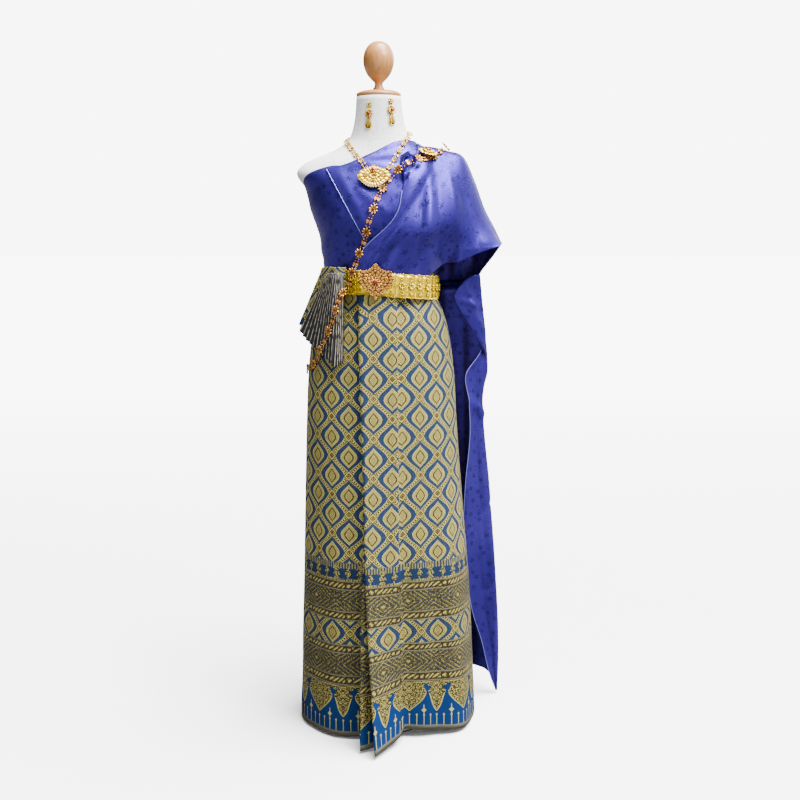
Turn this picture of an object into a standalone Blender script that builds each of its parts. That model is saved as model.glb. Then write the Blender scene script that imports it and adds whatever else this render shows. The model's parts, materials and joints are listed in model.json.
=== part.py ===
"""Chut thai dress on a limbless dress form: brocade skirt, shoulder cloth, plate belt and jewellery.

Metres, +Z up, the front faces -Y. The origin is on the floor, under the form's pole.
"""

import math
from bisect import bisect_right
from collections import namedtuple

import bmesh
import bpy
from mathutils import Matrix, Vector
from mathutils.bvhtree import BVHTree
from mathutils.geometry import convex_hull_2d

# Cloth and clearances
BROCADE = 0.0012
SATIN = 0.0010
SEAM_GAP = 0.0003
REST_GAP = 0.0005
REACH = 0.12
CLOSE_REACH = 0.03
PROBES = (0.2, 0.4, 0.6)

# Form: turned parts
BASE_RADIUS = 0.115
BASE_HEIGHT = 0.009
POLE_RADIUS = 0.014
TORSO_BOTTOM = 0.72
NECK_TOP = 1.381
CAP_RADIUS = 0.0470
CAP_HEIGHT = 0.013
FINIAL_HEIGHT = 0.1004
AXIS_X = 0.003

# Counts round and along the pieces
ROUND_COLUMNS = 36
LEFT_COLUMNS = 26
RIGHT_COLUMNS = 20
LAYER_POINTS = 2

# Skirt pleats
PLEAT_PITCH = 0.0023
FOLD_RADIUS = 0.0009
PANEL_TUCK = 0.012
VALLEY_WIDTH = 0.010
HIDDEN_STEP = 0.006

# Fan of the skirt's end
FAN_PLEATS = 15
FAN_TOP_DEPTH = 0.0012
FAN_HEM_DEPTH = 0.0052

# Belt and buckle
BELT_HEIGHT = 0.046
BELT_THICKNESS = 0.0020
BELT_PLATES = 34
PLATE_RELIEF = 0.0014
BELT_FRONT_Z = 0.997
BELT_DROP = 0.016
LOOSE_LAYER = 0.010
BELT_REACH = 0.012

# Jewellery
PLATE = 0.0020
LINK_PITCH = 0.048
STAR_RADIUS = 0.0115
STRAND_HALF_WIDTH = 0.0030
STEPS_PER_LINK = 5
LINK_PROFILE = (1.0, 0.55, 0.0, 0.0, 0.55)
CHAIN_GAP = 0.0008
CHAIN_REACH = 0.040
PLATE_GAP = 0.0008

Body = namedtuple("Body", "z centre half_width front back power")
FORM_SECTIONS = [
    Body(0.720, 0.004, 0.146, 0.097, 0.111, 2.2),
    Body(0.800, 0.004, 0.147, 0.100, 0.114, 2.2),
    Body(0.880, 0.004, 0.138, 0.098, 0.108, 2.2),
    Body(0.940, 0.004, 0.123, 0.091, 0.095, 2.2),
    Body(0.985, 0.004, 0.1155, 0.086, 0.084, 2.2),
    Body(1.020, 0.003, 0.1155, 0.087, 0.082, 2.2),
    Body(1.050, 0.002, 0.1190, 0.092, 0.083, 2.2),
    Body(1.082, 0.001, 0.1225, 0.103, 0.086, 2.2),
    Body(1.103, 0.001, 0.1280, 0.111, 0.088, 2.2),
    Body(1.123, 0.001, 0.1350, 0.116, 0.090, 2.2),
    Body(1.148, 0.001, 0.1435, 0.117, 0.092, 2.2),
    Body(1.178, 0.002, 0.1510, 0.109, 0.092, 2.2),
    Body(1.192, 0.003, 0.1565, 0.103, 0.091, 2.2),
    Body(1.207, 0.003, 0.1680, 0.096, 0.088, 2.2),
    Body(1.220, 0.003, 0.1750, 0.089, 0.085, 2.2),
    Body(1.232, 0.003, 0.1710, 0.083, 0.081, 2.1),
    Body(1.249, 0.003, 0.1480, 0.074, 0.074, 2.1),
    Body(1.263, 0.005, 0.1130, 0.067, 0.068, 2.0),
    Body(1.279, 0.005, 0.0820, 0.060, 0.062, 2.0),
    Body(1.296, 0.005, 0.0640, 0.055, 0.057, 2.0),
    Body(1.334, 0.004, 0.0520, 0.050, 0.052, 2.0),
    Body(1.381, 0.003, 0.0470, 0.047, 0.047, 2.0),
]

# The skirt in plan, level by level: its sides, its depths left and right of the pleats, and the
# left fold, right fold and hidden under fold of the pleats.
Skirt = namedtuple(
    "Skirt",
    "z left right front front_right back power power_right"
    " panel_x panel_y edge_x edge_y under_x under_y",
)
SKIRT_LEVELS = [
    Skirt(0.007, -0.175, 0.219, 0.143, 0.128, 0.140, 2.4, 3.4,
          -0.005, -0.235, 0.048, -0.167, -0.037, -0.204),
    Skirt(0.050, -0.174, 0.217, 0.142, 0.128, 0.140, 2.4, 3.2,
          -0.008, -0.225, 0.048, -0.163, -0.037, -0.198),
    Skirt(0.110, -0.171, 0.214, 0.140, 0.127, 0.139, 2.4, 3.0,
          -0.012, -0.212, 0.047, -0.159, -0.037, -0.188),
    Skirt(0.210, -0.169, 0.209, 0.137, 0.126, 0.137, 2.4, 2.8,
          -0.018, -0.192, 0.047, -0.154, -0.036, -0.172),
    Skirt(0.330, -0.165, 0.202, 0.133, 0.125, 0.134, 2.3, 2.6,
          -0.024, -0.173, 0.046, -0.149, -0.033, -0.158),
    Skirt(0.450, -0.162, 0.191, 0.129, 0.124, 0.132, 2.3, 2.4,
          -0.027, -0.160, 0.045, -0.144, -0.030, -0.150),
    Skirt(0.580, -0.159, 0.180, 0.124, 0.121, 0.130, 2.3, 2.3,
          -0.030, -0.149, 0.045, -0.139, -0.028, -0.140),
    Skirt(0.690, -0.156, 0.172, 0.119, 0.118, 0.128, 2.3, 2.3,
          -0.033, -0.139, 0.044, -0.134, -0.030, -0.1298),
    Skirt(0.790, -0.152, 0.166, 0.113, 0.113, 0.124, 2.2, 2.2,
          -0.036, -0.130, 0.043, -0.128, -0.033, -0.1208),
    Skirt(0.870, -0.144, 0.156, 0.107, 0.107, 0.116, 2.2, 2.2,
          -0.038, -0.1225, 0.042, -0.122, -0.035, -0.1133),
    Skirt(0.925, -0.131, 0.143, 0.099, 0.099, 0.104, 2.2, 2.2,
          -0.038, -0.1140, 0.042, -0.1140, -0.036, -0.1048),
    Skirt(0.955, -0.1190, 0.1290, 0.0925, 0.0925, 0.0940, 2.2, 2.2,
          -0.037, -0.1068, 0.041, -0.1068, -0.035, -0.0976),
    Skirt(0.985, -0.1146, 0.1226, 0.0892, 0.0892, 0.0870, 2.2, 2.2,
          -0.037, -0.1032, 0.040, -0.1032, -0.035, -0.0940),
    Skirt(1.014, -0.1164, 0.1230, 0.0904, 0.0904, 0.0862, 2.2, 2.2,
          -0.037, -0.1038, 0.040, -0.1038, -0.035, -0.0946),
]

# How far the hem is lifted from the lowest level, from side to side.
Rise = namedtuple("Rise", "x z")
HEM_RISES = [
    Rise(-0.02, 0.0), Rise(0.047, 0.013), Rise(0.060, 0.015),
    Rise(0.117, 0.011), Rise(0.168, 0.005), Rise(0.205, 0.0),
]

# Height of the chest wrap's upper edge, by the angle from the front towards the left hand.
Edge = namedtuple("Edge", "angle z")
WRAP_BOTTOM = 0.986
WRAP_ROWS = 8
WRAP_TOP = [
    Edge(-180, 1.186),
    Edge(-120, 1.182),
    Edge(-90, 1.186),
    Edge(-66, 1.209),
    Edge(-45, 1.228),
    Edge(-30, 1.236),
    Edge(0, 1.225),
    Edge(45, 1.195),
    Edge(90, 1.182),
    Edge(180, 1.186),
]

# The loose layer at the throat: its free upper edge and its lower edge, under the shoulder stretch.
Strip = namedtuple("Strip", "s top_x top_z low_x low_z")
FRONT_COLUMNS = 12
FRONT_ROWS = 8
FRONT_STRIPS = [
    Strip(0.00, -0.104, 1.229, -0.020, 1.076),
    Strip(0.25, -0.058, 1.241, 0.008, 1.082),
    Strip(0.50, -0.008, 1.263, 0.040, 1.102),
    Strip(0.75, 0.040, 1.286, 0.078, 1.140),
    Strip(1.00, 0.080, 1.289, 0.112, 1.205),
]

# Lengthwise lines of the shoulder stretch, from the throat to the cape's corner. Each runs from the
# belt up the breast, over the shoulder and down the back.
Line = namedtuple("Line", "s waist rib breast collar ridge blade hang")
SHOULDER_ROWS = 19
SHOULDER_COLUMNS = 17
SHOULDER_LINES = [
    Line(0.00, (-0.046, -0.098, 0.997), (-0.030, -0.112, 1.062), (0.038, -0.116, 1.130),
         (0.080, -0.066, 1.215), (0.083, -0.004, 1.279), (0.060, 0.078, 1.200),
         (0.030, 0.118, 0.980)),
    Line(0.16, (0.012, -0.104, 0.997), (0.030, -0.112, 1.060), (0.074, -0.118, 1.125),
         (0.110, -0.062, 1.236), (0.114, 0.000, 1.275), (0.100, 0.088, 1.190),
         (0.075, 0.129, 0.980)),
    Line(0.30, (0.064, -0.096, 0.998), (0.078, -0.104, 1.062), (0.110, -0.110, 1.122),
         (0.141, -0.056, 1.228), (0.147, 0.000, 1.267), (0.140, 0.090, 1.180),
         (0.120, 0.139, 0.981)),
    Line(0.44, (0.106, -0.068, 1.010), (0.119, -0.082, 1.067), (0.146, -0.090, 1.122),
         (0.173, -0.046, 1.212), (0.182, 0.004, 1.256), (0.180, 0.086, 1.168),
         (0.163, 0.141, 0.983)),
    Line(0.58, (0.141, -0.038, 1.032), (0.153, -0.058, 1.074), (0.176, -0.066, 1.116),
         (0.197, -0.036, 1.174), (0.207, 0.008, 1.208), (0.211, 0.078, 1.138),
         (0.198, 0.134, 0.986)),
    Line(0.72, (0.174, -0.056, 1.039), (0.188, -0.058, 1.067), (0.208, -0.050, 1.092),
         (0.223, -0.024, 1.128), (0.230, 0.012, 1.148), (0.236, 0.068, 1.096),
         (0.218, 0.120, 0.990)),
    Line(0.86, (0.217, -0.050, 1.057), (0.227, -0.046, 1.069), (0.239, -0.036, 1.081),
         (0.248, -0.014, 1.096), (0.253, 0.016, 1.104), (0.250, 0.064, 1.064),
         (0.226, 0.112, 0.999)),
    Line(1.00, (0.260, -0.030, 1.0700), (0.2625, -0.026, 1.0715), (0.2655, -0.018, 1.0735),
         (0.267, -0.006, 1.074), (0.266, 0.012, 1.071), (0.250, 0.050, 1.043),
         (0.2276, 0.096, 1.008)),
]

# The tail behind the left hip: its outer fold, the free edge of its front layer, and its inner end.
Tail = namedtuple("Tail", "z fold_x fold_y flap_x flap_y inner_x inner_y wave")
TAIL_TOP = 0.980
TAIL_SEAM = 0.0012
BACK_BOTTOM = 0.062
TAIL_BACK_POINTS = 11
TAIL_FLAP_POINTS = 4
TAIL_ROWS = 15
TAIL_WAVES = 2.5
BOTTOM_CORNER = 9
TAIL_LEVELS = [
    Tail(0.006, 0.2825, 0.112, 0.2790, 0.108, 0.130, 0.176, 0.008),
    Tail(0.062, 0.2840, 0.112, 0.2600, 0.096, 0.128, 0.175, 0.008),
    Tail(0.135, 0.2835, 0.113, 0.2430, 0.090, 0.124, 0.174, 0.008),
    Tail(0.222, 0.2800, 0.114, 0.2170, 0.086, 0.118, 0.172, 0.008),
    Tail(0.383, 0.2680, 0.116, 0.1960, 0.084, 0.108, 0.168, 0.008),
    Tail(0.530, 0.2565, 0.117, 0.1980, 0.084, 0.098, 0.164, 0.008),
    Tail(0.640, 0.2445, 0.117, 0.2080, 0.084, 0.088, 0.160, 0.007),
    Tail(0.718, 0.2400, 0.116, 0.2040, 0.084, 0.078, 0.156, 0.006),
    Tail(0.776, 0.2505, 0.115, 0.1960, 0.086, 0.070, 0.151, 0.005),
    Tail(0.815, 0.2490, 0.113, 0.2240, 0.094, 0.062, 0.146, 0.004),
    Tail(0.850, 0.2450, 0.111, 0.2420, 0.107, 0.055, 0.142, 0.003),
    Tail(0.935, 0.2360, 0.107, 0.2330, 0.103, 0.042, 0.132, 0.002),
    Tail(0.980, 0.2300, 0.102, 0.2270, 0.098, 0.030, 0.119, 0.000),
]

# The doubled edge under the cape: its free edge and the fold on the tail's outline.
Cascade = namedtuple("Cascade", "z free_x free_y fold_x fold_y")
CASCADE_POINTS = 5
CASCADE_ROWS = 9
CASCADE_LEVELS = [
    Cascade(0.820, 0.2430, 0.100, 0.2465, 0.106),
    Cascade(0.854, 0.2246, 0.088, 0.2430, 0.104),
    Cascade(0.904, 0.1957, 0.080, 0.2385, 0.102),
    Cascade(0.941, 0.1720, 0.078, 0.2345, 0.100),
    Cascade(0.956, 0.1678, 0.078, 0.2330, 0.099),
    Cascade(0.985, 0.1864, 0.080, 0.2300, 0.096),
    Cascade(1.003, 0.2080, 0.083, 0.2275, 0.092),
]

# Fan: where each radiating line starts and ends, from the outer lobe to the inner one.
Ray = namedtuple("Ray", "s top_x top_z foot_x foot_z")
FAN_ROWS = 6
FAN_SEED_Y = -0.100
FAN_RAYS = [
    Ray(0.00, -0.104, 1.012, -0.166, 0.892),
    Ray(0.15, -0.101, 1.014, -0.150, 0.873),
    Ray(0.35, -0.095, 1.016, -0.128, 0.853),
    Ray(0.55, -0.088, 1.017, -0.108, 0.838),
    Ray(0.75, -0.080, 1.017, -0.090, 0.820),
    Ray(1.00, -0.069, 1.014, -0.072, 0.829),
]
TURNOVER_ROWS = 6
TURNOVER_COLUMNS = 7
TURNOVER_RAYS = [
    Ray(0.00, -0.117, 1.020, -0.170, 0.902),
    Ray(0.50, -0.110, 1.028, -0.146, 0.905),
    Ray(1.00, -0.064, 1.028, -0.066, 0.972),
]

Point = namedtuple("Point", "x y z")
CHAIN_PATH = [
    Point(0.012, -0.13, 1.194), Point(-0.012, -0.13, 1.133), Point(-0.035, -0.13, 1.074),
    Point(-0.051, -0.12, 1.031), Point(-0.069, -0.12, 0.990), Point(-0.087, -0.12, 0.952),
    Point(-0.106, -0.12, 0.915), Point(-0.129, -0.11, 0.876), Point(-0.148, -0.08, 0.832),
    Point(-0.160, -0.03, 0.806), Point(-0.158, 0.03, 0.808), Point(-0.140, 0.09, 0.840),
    Point(-0.100, 0.12, 0.885), Point(-0.050, 0.12, 0.950), Point(0.005, 0.12, 1.030),
    Point(0.055, 0.12, 1.110), Point(0.100, 0.11, 1.190), Point(0.135, 0.06, 1.250),
    Point(0.148, 0.00, 1.280), Point(0.122, -0.05, 1.258), Point(0.080, -0.09, 1.245),
    Point(0.046, -0.11, 1.232),
]
NECKLACE_PATH = [
    Point(-0.010, -0.12, 1.222), Point(-0.032, -0.09, 1.246), Point(-0.058, -0.05, 1.278),
    Point(-0.066, 0.00, 1.292), Point(-0.048, 0.05, 1.304), Point(0.003, 0.07, 1.312),
    Point(0.052, 0.05, 1.312), Point(0.070, 0.00, 1.306), Point(0.058, -0.05, 1.285),
    Point(0.036, -0.09, 1.252), Point(0.012, -0.12, 1.222),
]
NECKLACE_PITCH = 0.022
NECKLACE_STAR = 0.0070

# Plates: a point that each is aimed at, the way it is pressed on, half sizes, scallops and their depth.
Plate = namedtuple("Plate", "aim inward half_width half_height scallops scallop")
BUCKLE = Plate((-0.003, -0.12, 0.999), (0, 1, 0), 0.034, 0.036, 8, 0.10)
PENDANT = Plate((-0.006, -0.12, 1.212), (0, 1, 0), 0.036, 0.028, 10, 0.08)
BROOCH = Plate((0.104, -0.06, 1.258), (0, 0.85, -0.5), 0.025, 0.014, 8, 0.10)
Stone = namedtuple("Stone", "radius rise")
STONES = {
    "buckle": Stone(0.0075, 0.0),
    "pendant": Stone(0.0070, 0.012),
    "brooch": Stone(0.0062, 0.004),
}
EARRINGS = {"earring_right": (-0.016, 1.339), "earring_left": (0.029, 1.347)}
EARRING_HALF_WIDTH = 0.0125
EARRING_HALF_HEIGHT = 0.029

Finish = namedtuple("Finish", "colour roughness metallic")
FINISHES = {
    "cover": Finish((0.80, 0.80, 0.78), 0.85, 0.0),
    "wood": Finish((0.62, 0.38, 0.18), 0.45, 0.0),
    "steel": Finish((0.45, 0.45, 0.46), 0.35, 0.9),
    "brocade": Finish((0.30, 0.33, 0.20), 0.50, 0.1),
    "reverse": Finish((0.02, 0.02, 0.03), 0.70, 0.0),
    "satin": Finish((0.10, 0.12, 0.48), 0.42, 0.0),
    "gold": Finish((0.85, 0.68, 0.10), 0.30, 1.0),
    "rose_gold": Finish((0.75, 0.45, 0.22), 0.32, 1.0),
    "red_stone": Finish((0.55, 0.01, 0.02), 0.08, 0.0),
}


def clear_scene():
    for old in list(bpy.data.objects):
        bpy.data.objects.remove(old, do_unlink=True)
    parts = bpy.data.collections.new("chut_thai_dress")
    bpy.context.scene.collection.children.link(parts)
    return parts


def finish_of(name):
    """The material of that name, made the first time it is asked for."""
    found = bpy.data.materials.get(name)
    if found:
        return found
    made = bpy.data.materials.new(name)
    made.use_nodes = True
    surface = made.node_tree.nodes["Principled BSDF"]
    surface.inputs["Base Color"].default_value = (*FINISHES[name].colour, 1.0)
    surface.inputs["Roughness"].default_value = FINISHES[name].roughness
    surface.inputs["Metallic"].default_value = FINISHES[name].metallic
    return made


def add_object(parts, name, data, finish):
    made = bpy.data.objects.new(name, data)
    parts.objects.link(made)
    data.materials.append(finish_of(finish))
    return made


def track(rows, column, at):
    """A table's column at a value of its first column, on a smooth curve through the rows."""
    keys = [row[0] for row in rows]
    values = [getattr(row, column) for row in rows]
    if isinstance(values[0], tuple):
        values = [Vector(value) for value in values]
    if at <= keys[0]:
        return values[0]
    if at >= keys[-1]:
        return values[-1]
    k = bisect_right(keys, at) - 1

    def slope(n):
        low, high = max(n - 1, 0), min(n + 1, len(keys) - 1)
        return (values[high] - values[low]) / (keys[high] - keys[low])

    span = keys[k + 1] - keys[k]
    t = (at - keys[k]) / span
    return (
        values[k] * (2 * t**3 - 3 * t**2 + 1)
        + slope(k) * span * (t**3 - 2 * t**2 + t)
        + values[k + 1] * (3 * t**2 - 2 * t**3)
        + slope(k + 1) * span * (t**3 - t**2)
    )


def through(points, t, closed=False):
    """A point at t (0 to 1) of the smooth curve through the points."""
    count = len(points) if closed else len(points) - 1
    place = min(max(t, 0.0), 1.0) * count
    k = min(int(place), count - 1)
    t = place - k

    def point(n):
        return Vector(points[n % len(points)] if closed else points[min(max(n, 0), count)])

    a, b, c, d = point(k - 1), point(k), point(k + 1), point(k + 2)
    return 0.5 * (
        2 * b + (c - a) * t + (2 * a - 5 * b + 4 * c - d) * t**2 + (3 * b - a - 3 * c + d) * t**3
    )


def spread(low, high, count):
    return [low + (high - low) * n / (count - 1) for n in range(count)]


def section_point(half_width, front, back, power, centre, angle):
    """A point of a rounded section at an angle from the front, towards +X."""
    s, c = math.sin(angle), math.cos(angle)
    x = centre + half_width * math.copysign(abs(s) ** (2 / power), s)
    depth = front if c > 0 else back
    return x, -depth * math.copysign(abs(c) ** (2 / power), c)


def form_point(angle, z):
    values = [track(FORM_SECTIONS, name, z) for name in Body._fields[1:]]
    centre, half_width, front, back, power = values
    x, y = section_point(half_width, front, back, power, centre, angle)
    return Vector((x, y, z))


def sheet_mesh(name, grid, closed=False):
    """An open surface through a grid of points, its rows from bottom to top."""
    mesh = bpy.data.meshes.new(name)
    work = bmesh.new()
    rows = [[work.verts.new(point) for point in row] for row in grid]
    columns = len(grid[0])
    for lower, upper in zip(rows, rows[1:]):
        for k in range(columns if closed else columns - 1):
            after = (k + 1) % columns
            work.faces.new((lower[k], lower[after], upper[after], upper[k]))
    work.normal_update()
    work.to_mesh(mesh)
    work.free()
    return mesh


def add_sheet(parts, name, grid, finish, thickness, closed=False):
    """A wall that grows outwards from the grid by its thickness."""
    made = add_object(parts, name, sheet_mesh(name, grid, closed), finish)
    wall = made.modifiers.new("wall", "SOLIDIFY")
    wall.thickness = thickness
    wall.offset = 1.0
    made.data.shade_smooth()
    return made


def tree_of(objects):
    """One search tree over the finished surfaces of the objects."""
    graph = bpy.context.evaluated_depsgraph_get()
    points, faces = [], []
    for thing in objects:
        seen = thing.evaluated_get(graph)
        mesh = seen.to_mesh()
        start = len(points)
        points.extend(thing.matrix_world @ vertex.co for vertex in mesh.vertices)
        faces.extend(tuple(start + n for n in face.vertices) for face in mesh.polygons)
        seen.to_mesh_clear()
    return BVHTree.FromPolygons(points, faces)


def normals_of(grid, closed=False):
    """The outward direction at each point of a grid."""
    mesh = sheet_mesh("probe", grid, closed)
    columns = len(grid[0])
    found = [
        [mesh.vertices[row * columns + k].normal.copy() for k in range(columns)]
        for row in range(len(grid))
    ]
    bpy.data.meshes.remove(mesh)
    return found


def around(grid, row, k, closed):
    """Points half a cell round a grid point, where the cloth could touch what is below."""
    here = grid[row][k]
    columns = len(grid[0])
    found = [here]
    for d_row in (-1, 0, 1):
        for d_k in (-1, 0, 1):
            other_row = row + d_row
            other_k = (k + d_k) % columns if closed else k + d_k
            if 0 <= other_row < len(grid) and 0 <= other_k < columns:
                there = grid[other_row][other_k]
                found.extend(here.lerp(there, share) for share in PROBES)
    return found


def smoothed(lifts, closed):
    """Lifts made even without going below any point's own need: the widest of each
    neighbourhood, then its mean."""

    def pooled(values, pool):
        rows, columns = len(values), len(values[0])
        made = []
        for row in range(rows):
            line = []
            for k in range(columns):
                near = [
                    values[r][c % columns]
                    for r in range(max(row - 1, 0), min(row + 2, rows))
                    for c in range(k - 1, k + 2)
                    if closed or 0 <= c < columns
                ]
                line.append(pool(near))
            made.append(line)
        return made

    return pooled(pooled(lifts, max), lambda near: sum(near) / len(near))


def draped(grid, below, gap=REST_GAP, closed=False, passes=2, reach=REACH, outward=None):
    """The grid lifted outwards, along its own normals if no directions are given, until it clears
    what is below by the gap."""
    tree = tree_of(below)
    for _ in range(passes):
        normals = outward or normals_of(grid, closed)
        lifts = []
        for row, points in enumerate(grid):
            line = []
            for k, point in enumerate(points):
                out = normals[row][k]
                need = 0.0
                for probe in around(grid, row, k, closed):
                    hit = tree.ray_cast(probe + out * reach, -out, reach + gap)
                    if hit[0] is not None:
                        need = max(need, reach - hit[3] + gap)
                line.append(need)
            lifts.append(line)
        lifts = smoothed(lifts, closed)
        grid = [
            [point + normals[row][k] * lifts[row][k] for k, point in enumerate(points)]
            for row, points in enumerate(grid)
        ]
    return grid


def turned(parts, name, profile, finish, steps=24):
    """A turned piece about the pole's axis, from its profile at +X, top to bottom."""
    mesh = bpy.data.meshes.new(name)
    points = [(radius, 0.0, z) for radius, z in profile]
    mesh.from_pydata(points, [(n, n + 1) for n in range(len(points) - 1)], [])
    made = add_object(parts, name, mesh, finish)
    made.location.x = AXIS_X
    spin = made.modifiers.new("turn", "SCREW")
    spin.steps = steps
    spin.render_steps = steps
    spin.use_merge_vertices = True
    spin.merge_threshold = 0.0001
    return made


def make_form(parts):
    angles = [2 * math.pi * n / ROUND_COLUMNS for n in range(ROUND_COLUMNS)]
    mesh = bpy.data.meshes.new("form_torso")
    work = bmesh.new()
    rings = [
        [work.verts.new(form_point(angle, section.z)) for angle in angles]
        for section in FORM_SECTIONS
    ]
    for lower, upper in zip(rings, rings[1:]):
        for k in range(ROUND_COLUMNS):
            after = (k + 1) % ROUND_COLUMNS
            work.faces.new((lower[k], lower[after], upper[after], upper[k]))
    work.faces.new(rings[-1])
    work.faces.new(rings[0][::-1])
    work.to_mesh(mesh)
    work.free()
    torso = add_object(parts, "form_torso", mesh, "cover")
    mesh.shade_smooth()

    cap_bottom = NECK_TOP + SEAM_GAP
    cap_top = cap_bottom + CAP_HEIGHT
    turned(parts, "form_neck_cap", [
        (0.0, cap_top), (CAP_RADIUS * 0.35, cap_top), (CAP_RADIUS * 0.85, cap_top - 0.004),
        (CAP_RADIUS, cap_top - 0.008), (CAP_RADIUS, cap_bottom + 0.002),
        (CAP_RADIUS - 0.002, cap_bottom), (0.0, cap_bottom),
    ], "wood")
    foot = cap_top + SEAM_GAP
    top = foot + FINIAL_HEIGHT
    turned(parts, "form_finial", [
        (0.0, top), (0.012, top - 0.0025), (0.0225, top - 0.010), (0.0295, top - 0.022),
        (0.0325, top - 0.036), (0.0310, top - 0.052), (0.0245, top - 0.068),
        (0.0150, top - 0.079), (0.0092, top - 0.085), (0.0088, top - 0.092),
        (0.0125, foot + 0.003), (0.0125, foot), (0.0, foot),
    ], "wood")
    turned(parts, "form_pole", [
        (0.0, TORSO_BOTTOM - SEAM_GAP), (POLE_RADIUS, TORSO_BOTTOM - SEAM_GAP),
        (POLE_RADIUS, BASE_HEIGHT + SEAM_GAP), (0.0, BASE_HEIGHT + SEAM_GAP),
    ], "steel", 20)
    turned(parts, "form_base", [
        (0.0, BASE_HEIGHT), (BASE_RADIUS - 0.004, BASE_HEIGHT), (BASE_RADIUS, BASE_HEIGHT - 0.004),
        (BASE_RADIUS, 0.0), (0.0, 0.0),
    ], "steel", 40)
    return torso


def make_wrap(parts, torso):
    """The stretch round the chest, tucked into the skirt's waist."""
    angles = [-math.pi + 2 * math.pi * n / ROUND_COLUMNS for n in range(ROUND_COLUMNS)]
    grid = []
    for t in spread(0.0, 1.0, WRAP_ROWS):
        row = []
        for angle in angles:
            top = track(WRAP_TOP, "z", math.degrees(angle))
            row.append(form_point(angle, WRAP_BOTTOM + (top - WRAP_BOTTOM) * t))
        grid.append(row)
    grid = draped(grid, [torso], closed=True, passes=1)
    return add_sheet(parts, "sabai_wrap", grid, "satin", SATIN, closed=True)


def body_angle(x, centre, half_width, power):
    """The angle at which a section's front has this x."""
    share = (x - centre) / half_width
    return math.copysign(math.asin(abs(share) ** (power / 2)), share)


def fold(x, y_from, y_to, side):
    """The turn at the end of a pleat's layer; side is +1 where it opens towards +X."""
    return [
        (x + side * FOLD_RADIUS, y_from),
        (x, (y_from + y_to) / 2),
        (x + side * FOLD_RADIUS, y_to),
    ]


def skirt_ring(level):
    """The skirt in plan at one height: the body's curve, and the pleats as one folded cloth."""
    centre = (level.left + level.right) / 2
    half_width = (level.right - level.left) / 2

    def body(angle, front=level.front, power=level.power):
        return section_point(half_width, front, level.back, power, centre, angle)

    def right_body(angle):
        share = min(max((angle - right_angle) / (math.pi / 2 - right_angle), 0.0), 1.0)
        power = level.power_right + (level.power - level.power_right) * share
        return body(angle, level.front_right, power)

    left_end = level.edge_x - HIDDEN_STEP
    right_start = level.edge_x + VALLEY_WIDTH
    left_angle = body_angle(left_end, centre, half_width, level.power)
    right_angle = body_angle(right_start, centre, half_width, level.power_right)
    pitch = PLEAT_PITCH
    tuck_x = level.panel_x + PANEL_TUCK
    slant = (level.edge_y - level.panel_y) / (level.edge_x - level.panel_x)
    tuck_y = level.panel_y + slant * PANEL_TUCK
    inner_x = left_end + FOLD_RADIUS
    inner_y = (body(left_angle)[1] + level.edge_y + 5 * pitch) / 2
    turns = [
        [(inner_x, inner_y), (left_end, level.edge_y + 5 * pitch)],
        fold(level.under_x, level.under_y + pitch, level.under_y, 1),
        fold(level.edge_x - HIDDEN_STEP / 2, level.edge_y + 4 * pitch, level.edge_y + 3 * pitch, -1),
        fold(level.panel_x, level.panel_y + 3 * pitch, level.panel_y, 1),
        fold(level.edge_x, level.edge_y, level.edge_y + pitch, -1),
        fold(tuck_x, tuck_y + pitch, tuck_y + 2 * pitch, 1),
    ]
    last = [(level.edge_x + 0.001, level.edge_y + 2 * pitch)]
    ring = [body(angle) for angle in spread(-math.pi, left_angle, LEFT_COLUMNS)]
    ring.extend(turns[0])
    for turn in [*turns[1:], last]:
        start, end = Vector(ring[-1]), Vector(turn[0])
        for n in range(1, LAYER_POINTS + 1):
            ring.append(tuple(start.lerp(end, n / (LAYER_POINTS + 1))))
        ring.extend(turn)
    ring.extend(right_body(angle) for angle in spread(right_angle, math.pi, RIGHT_COLUMNS)[:-1])
    return ring


def make_skirt(parts):
    """One continuous cloth from waist to hem, with the two front pleats folded in it."""
    grid = []
    for level in SKIRT_LEVELS:
        row = []
        for x, y in skirt_ring(level):
            rise = track(HEM_RISES, "z", x)
            low = max(1.0 - level.z / 0.3, 0.0)
            row.append(Vector((x, y, level.z + rise * low)))
        grid.append(row)
    made = add_sheet(parts, "skirt_body", grid, "brocade", BROCADE, closed=True)
    made.modifiers["wall"].offset = 0.0
    return made


def front_y(x, z, stand=0.004):
    """How far forward a point stands just off the form's front."""
    centre = track(FORM_SECTIONS, "centre", z)
    half_width = track(FORM_SECTIONS, "half_width", z) + stand
    front = track(FORM_SECTIONS, "front", z) + stand
    power = track(FORM_SECTIONS, "power", z)
    share = min(abs(x - centre) / half_width, 1.0)
    return -front * (1 - share**power) ** (1 / power)


def make_front(parts, below):
    """The layer over the left breast, free along the throat."""
    grid = []
    for v in spread(0.0, 1.0, FRONT_ROWS):
        row = []
        for s in spread(0.0, 1.0, FRONT_COLUMNS):
            low = Vector((track(FRONT_STRIPS, "low_x", s), track(FRONT_STRIPS, "low_z", s)))
            top = Vector((track(FRONT_STRIPS, "top_x", s), track(FRONT_STRIPS, "top_z", s)))
            x, z = low.lerp(top, v)
            row.append(Vector((x, front_y(x, z), z)))
        grid.append(row)
    grid = draped(grid, below)
    return add_sheet(parts, "sabai_front", grid, "satin", SATIN)


def make_shoulder(parts, below):
    """From the belt up over the shoulder and down the back, with the cape that stands off."""
    columns = Line._fields[1:]
    grid = []
    for t in spread(0.0, 1.0, SHOULDER_ROWS):
        row = []
        for s in spread(0.0, 1.0, SHOULDER_COLUMNS):
            stations = [track(SHOULDER_LINES, name, s) for name in columns]
            row.append(through(stations, t))
        grid.append(row)
    hang = [point.copy() for point in grid[-1]]
    grid = draped(grid, below, reach=CLOSE_REACH)
    grid[-1] = hang
    made = add_sheet(parts, "sabai_shoulder", grid, "satin", SATIN)
    return made, hang


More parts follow.
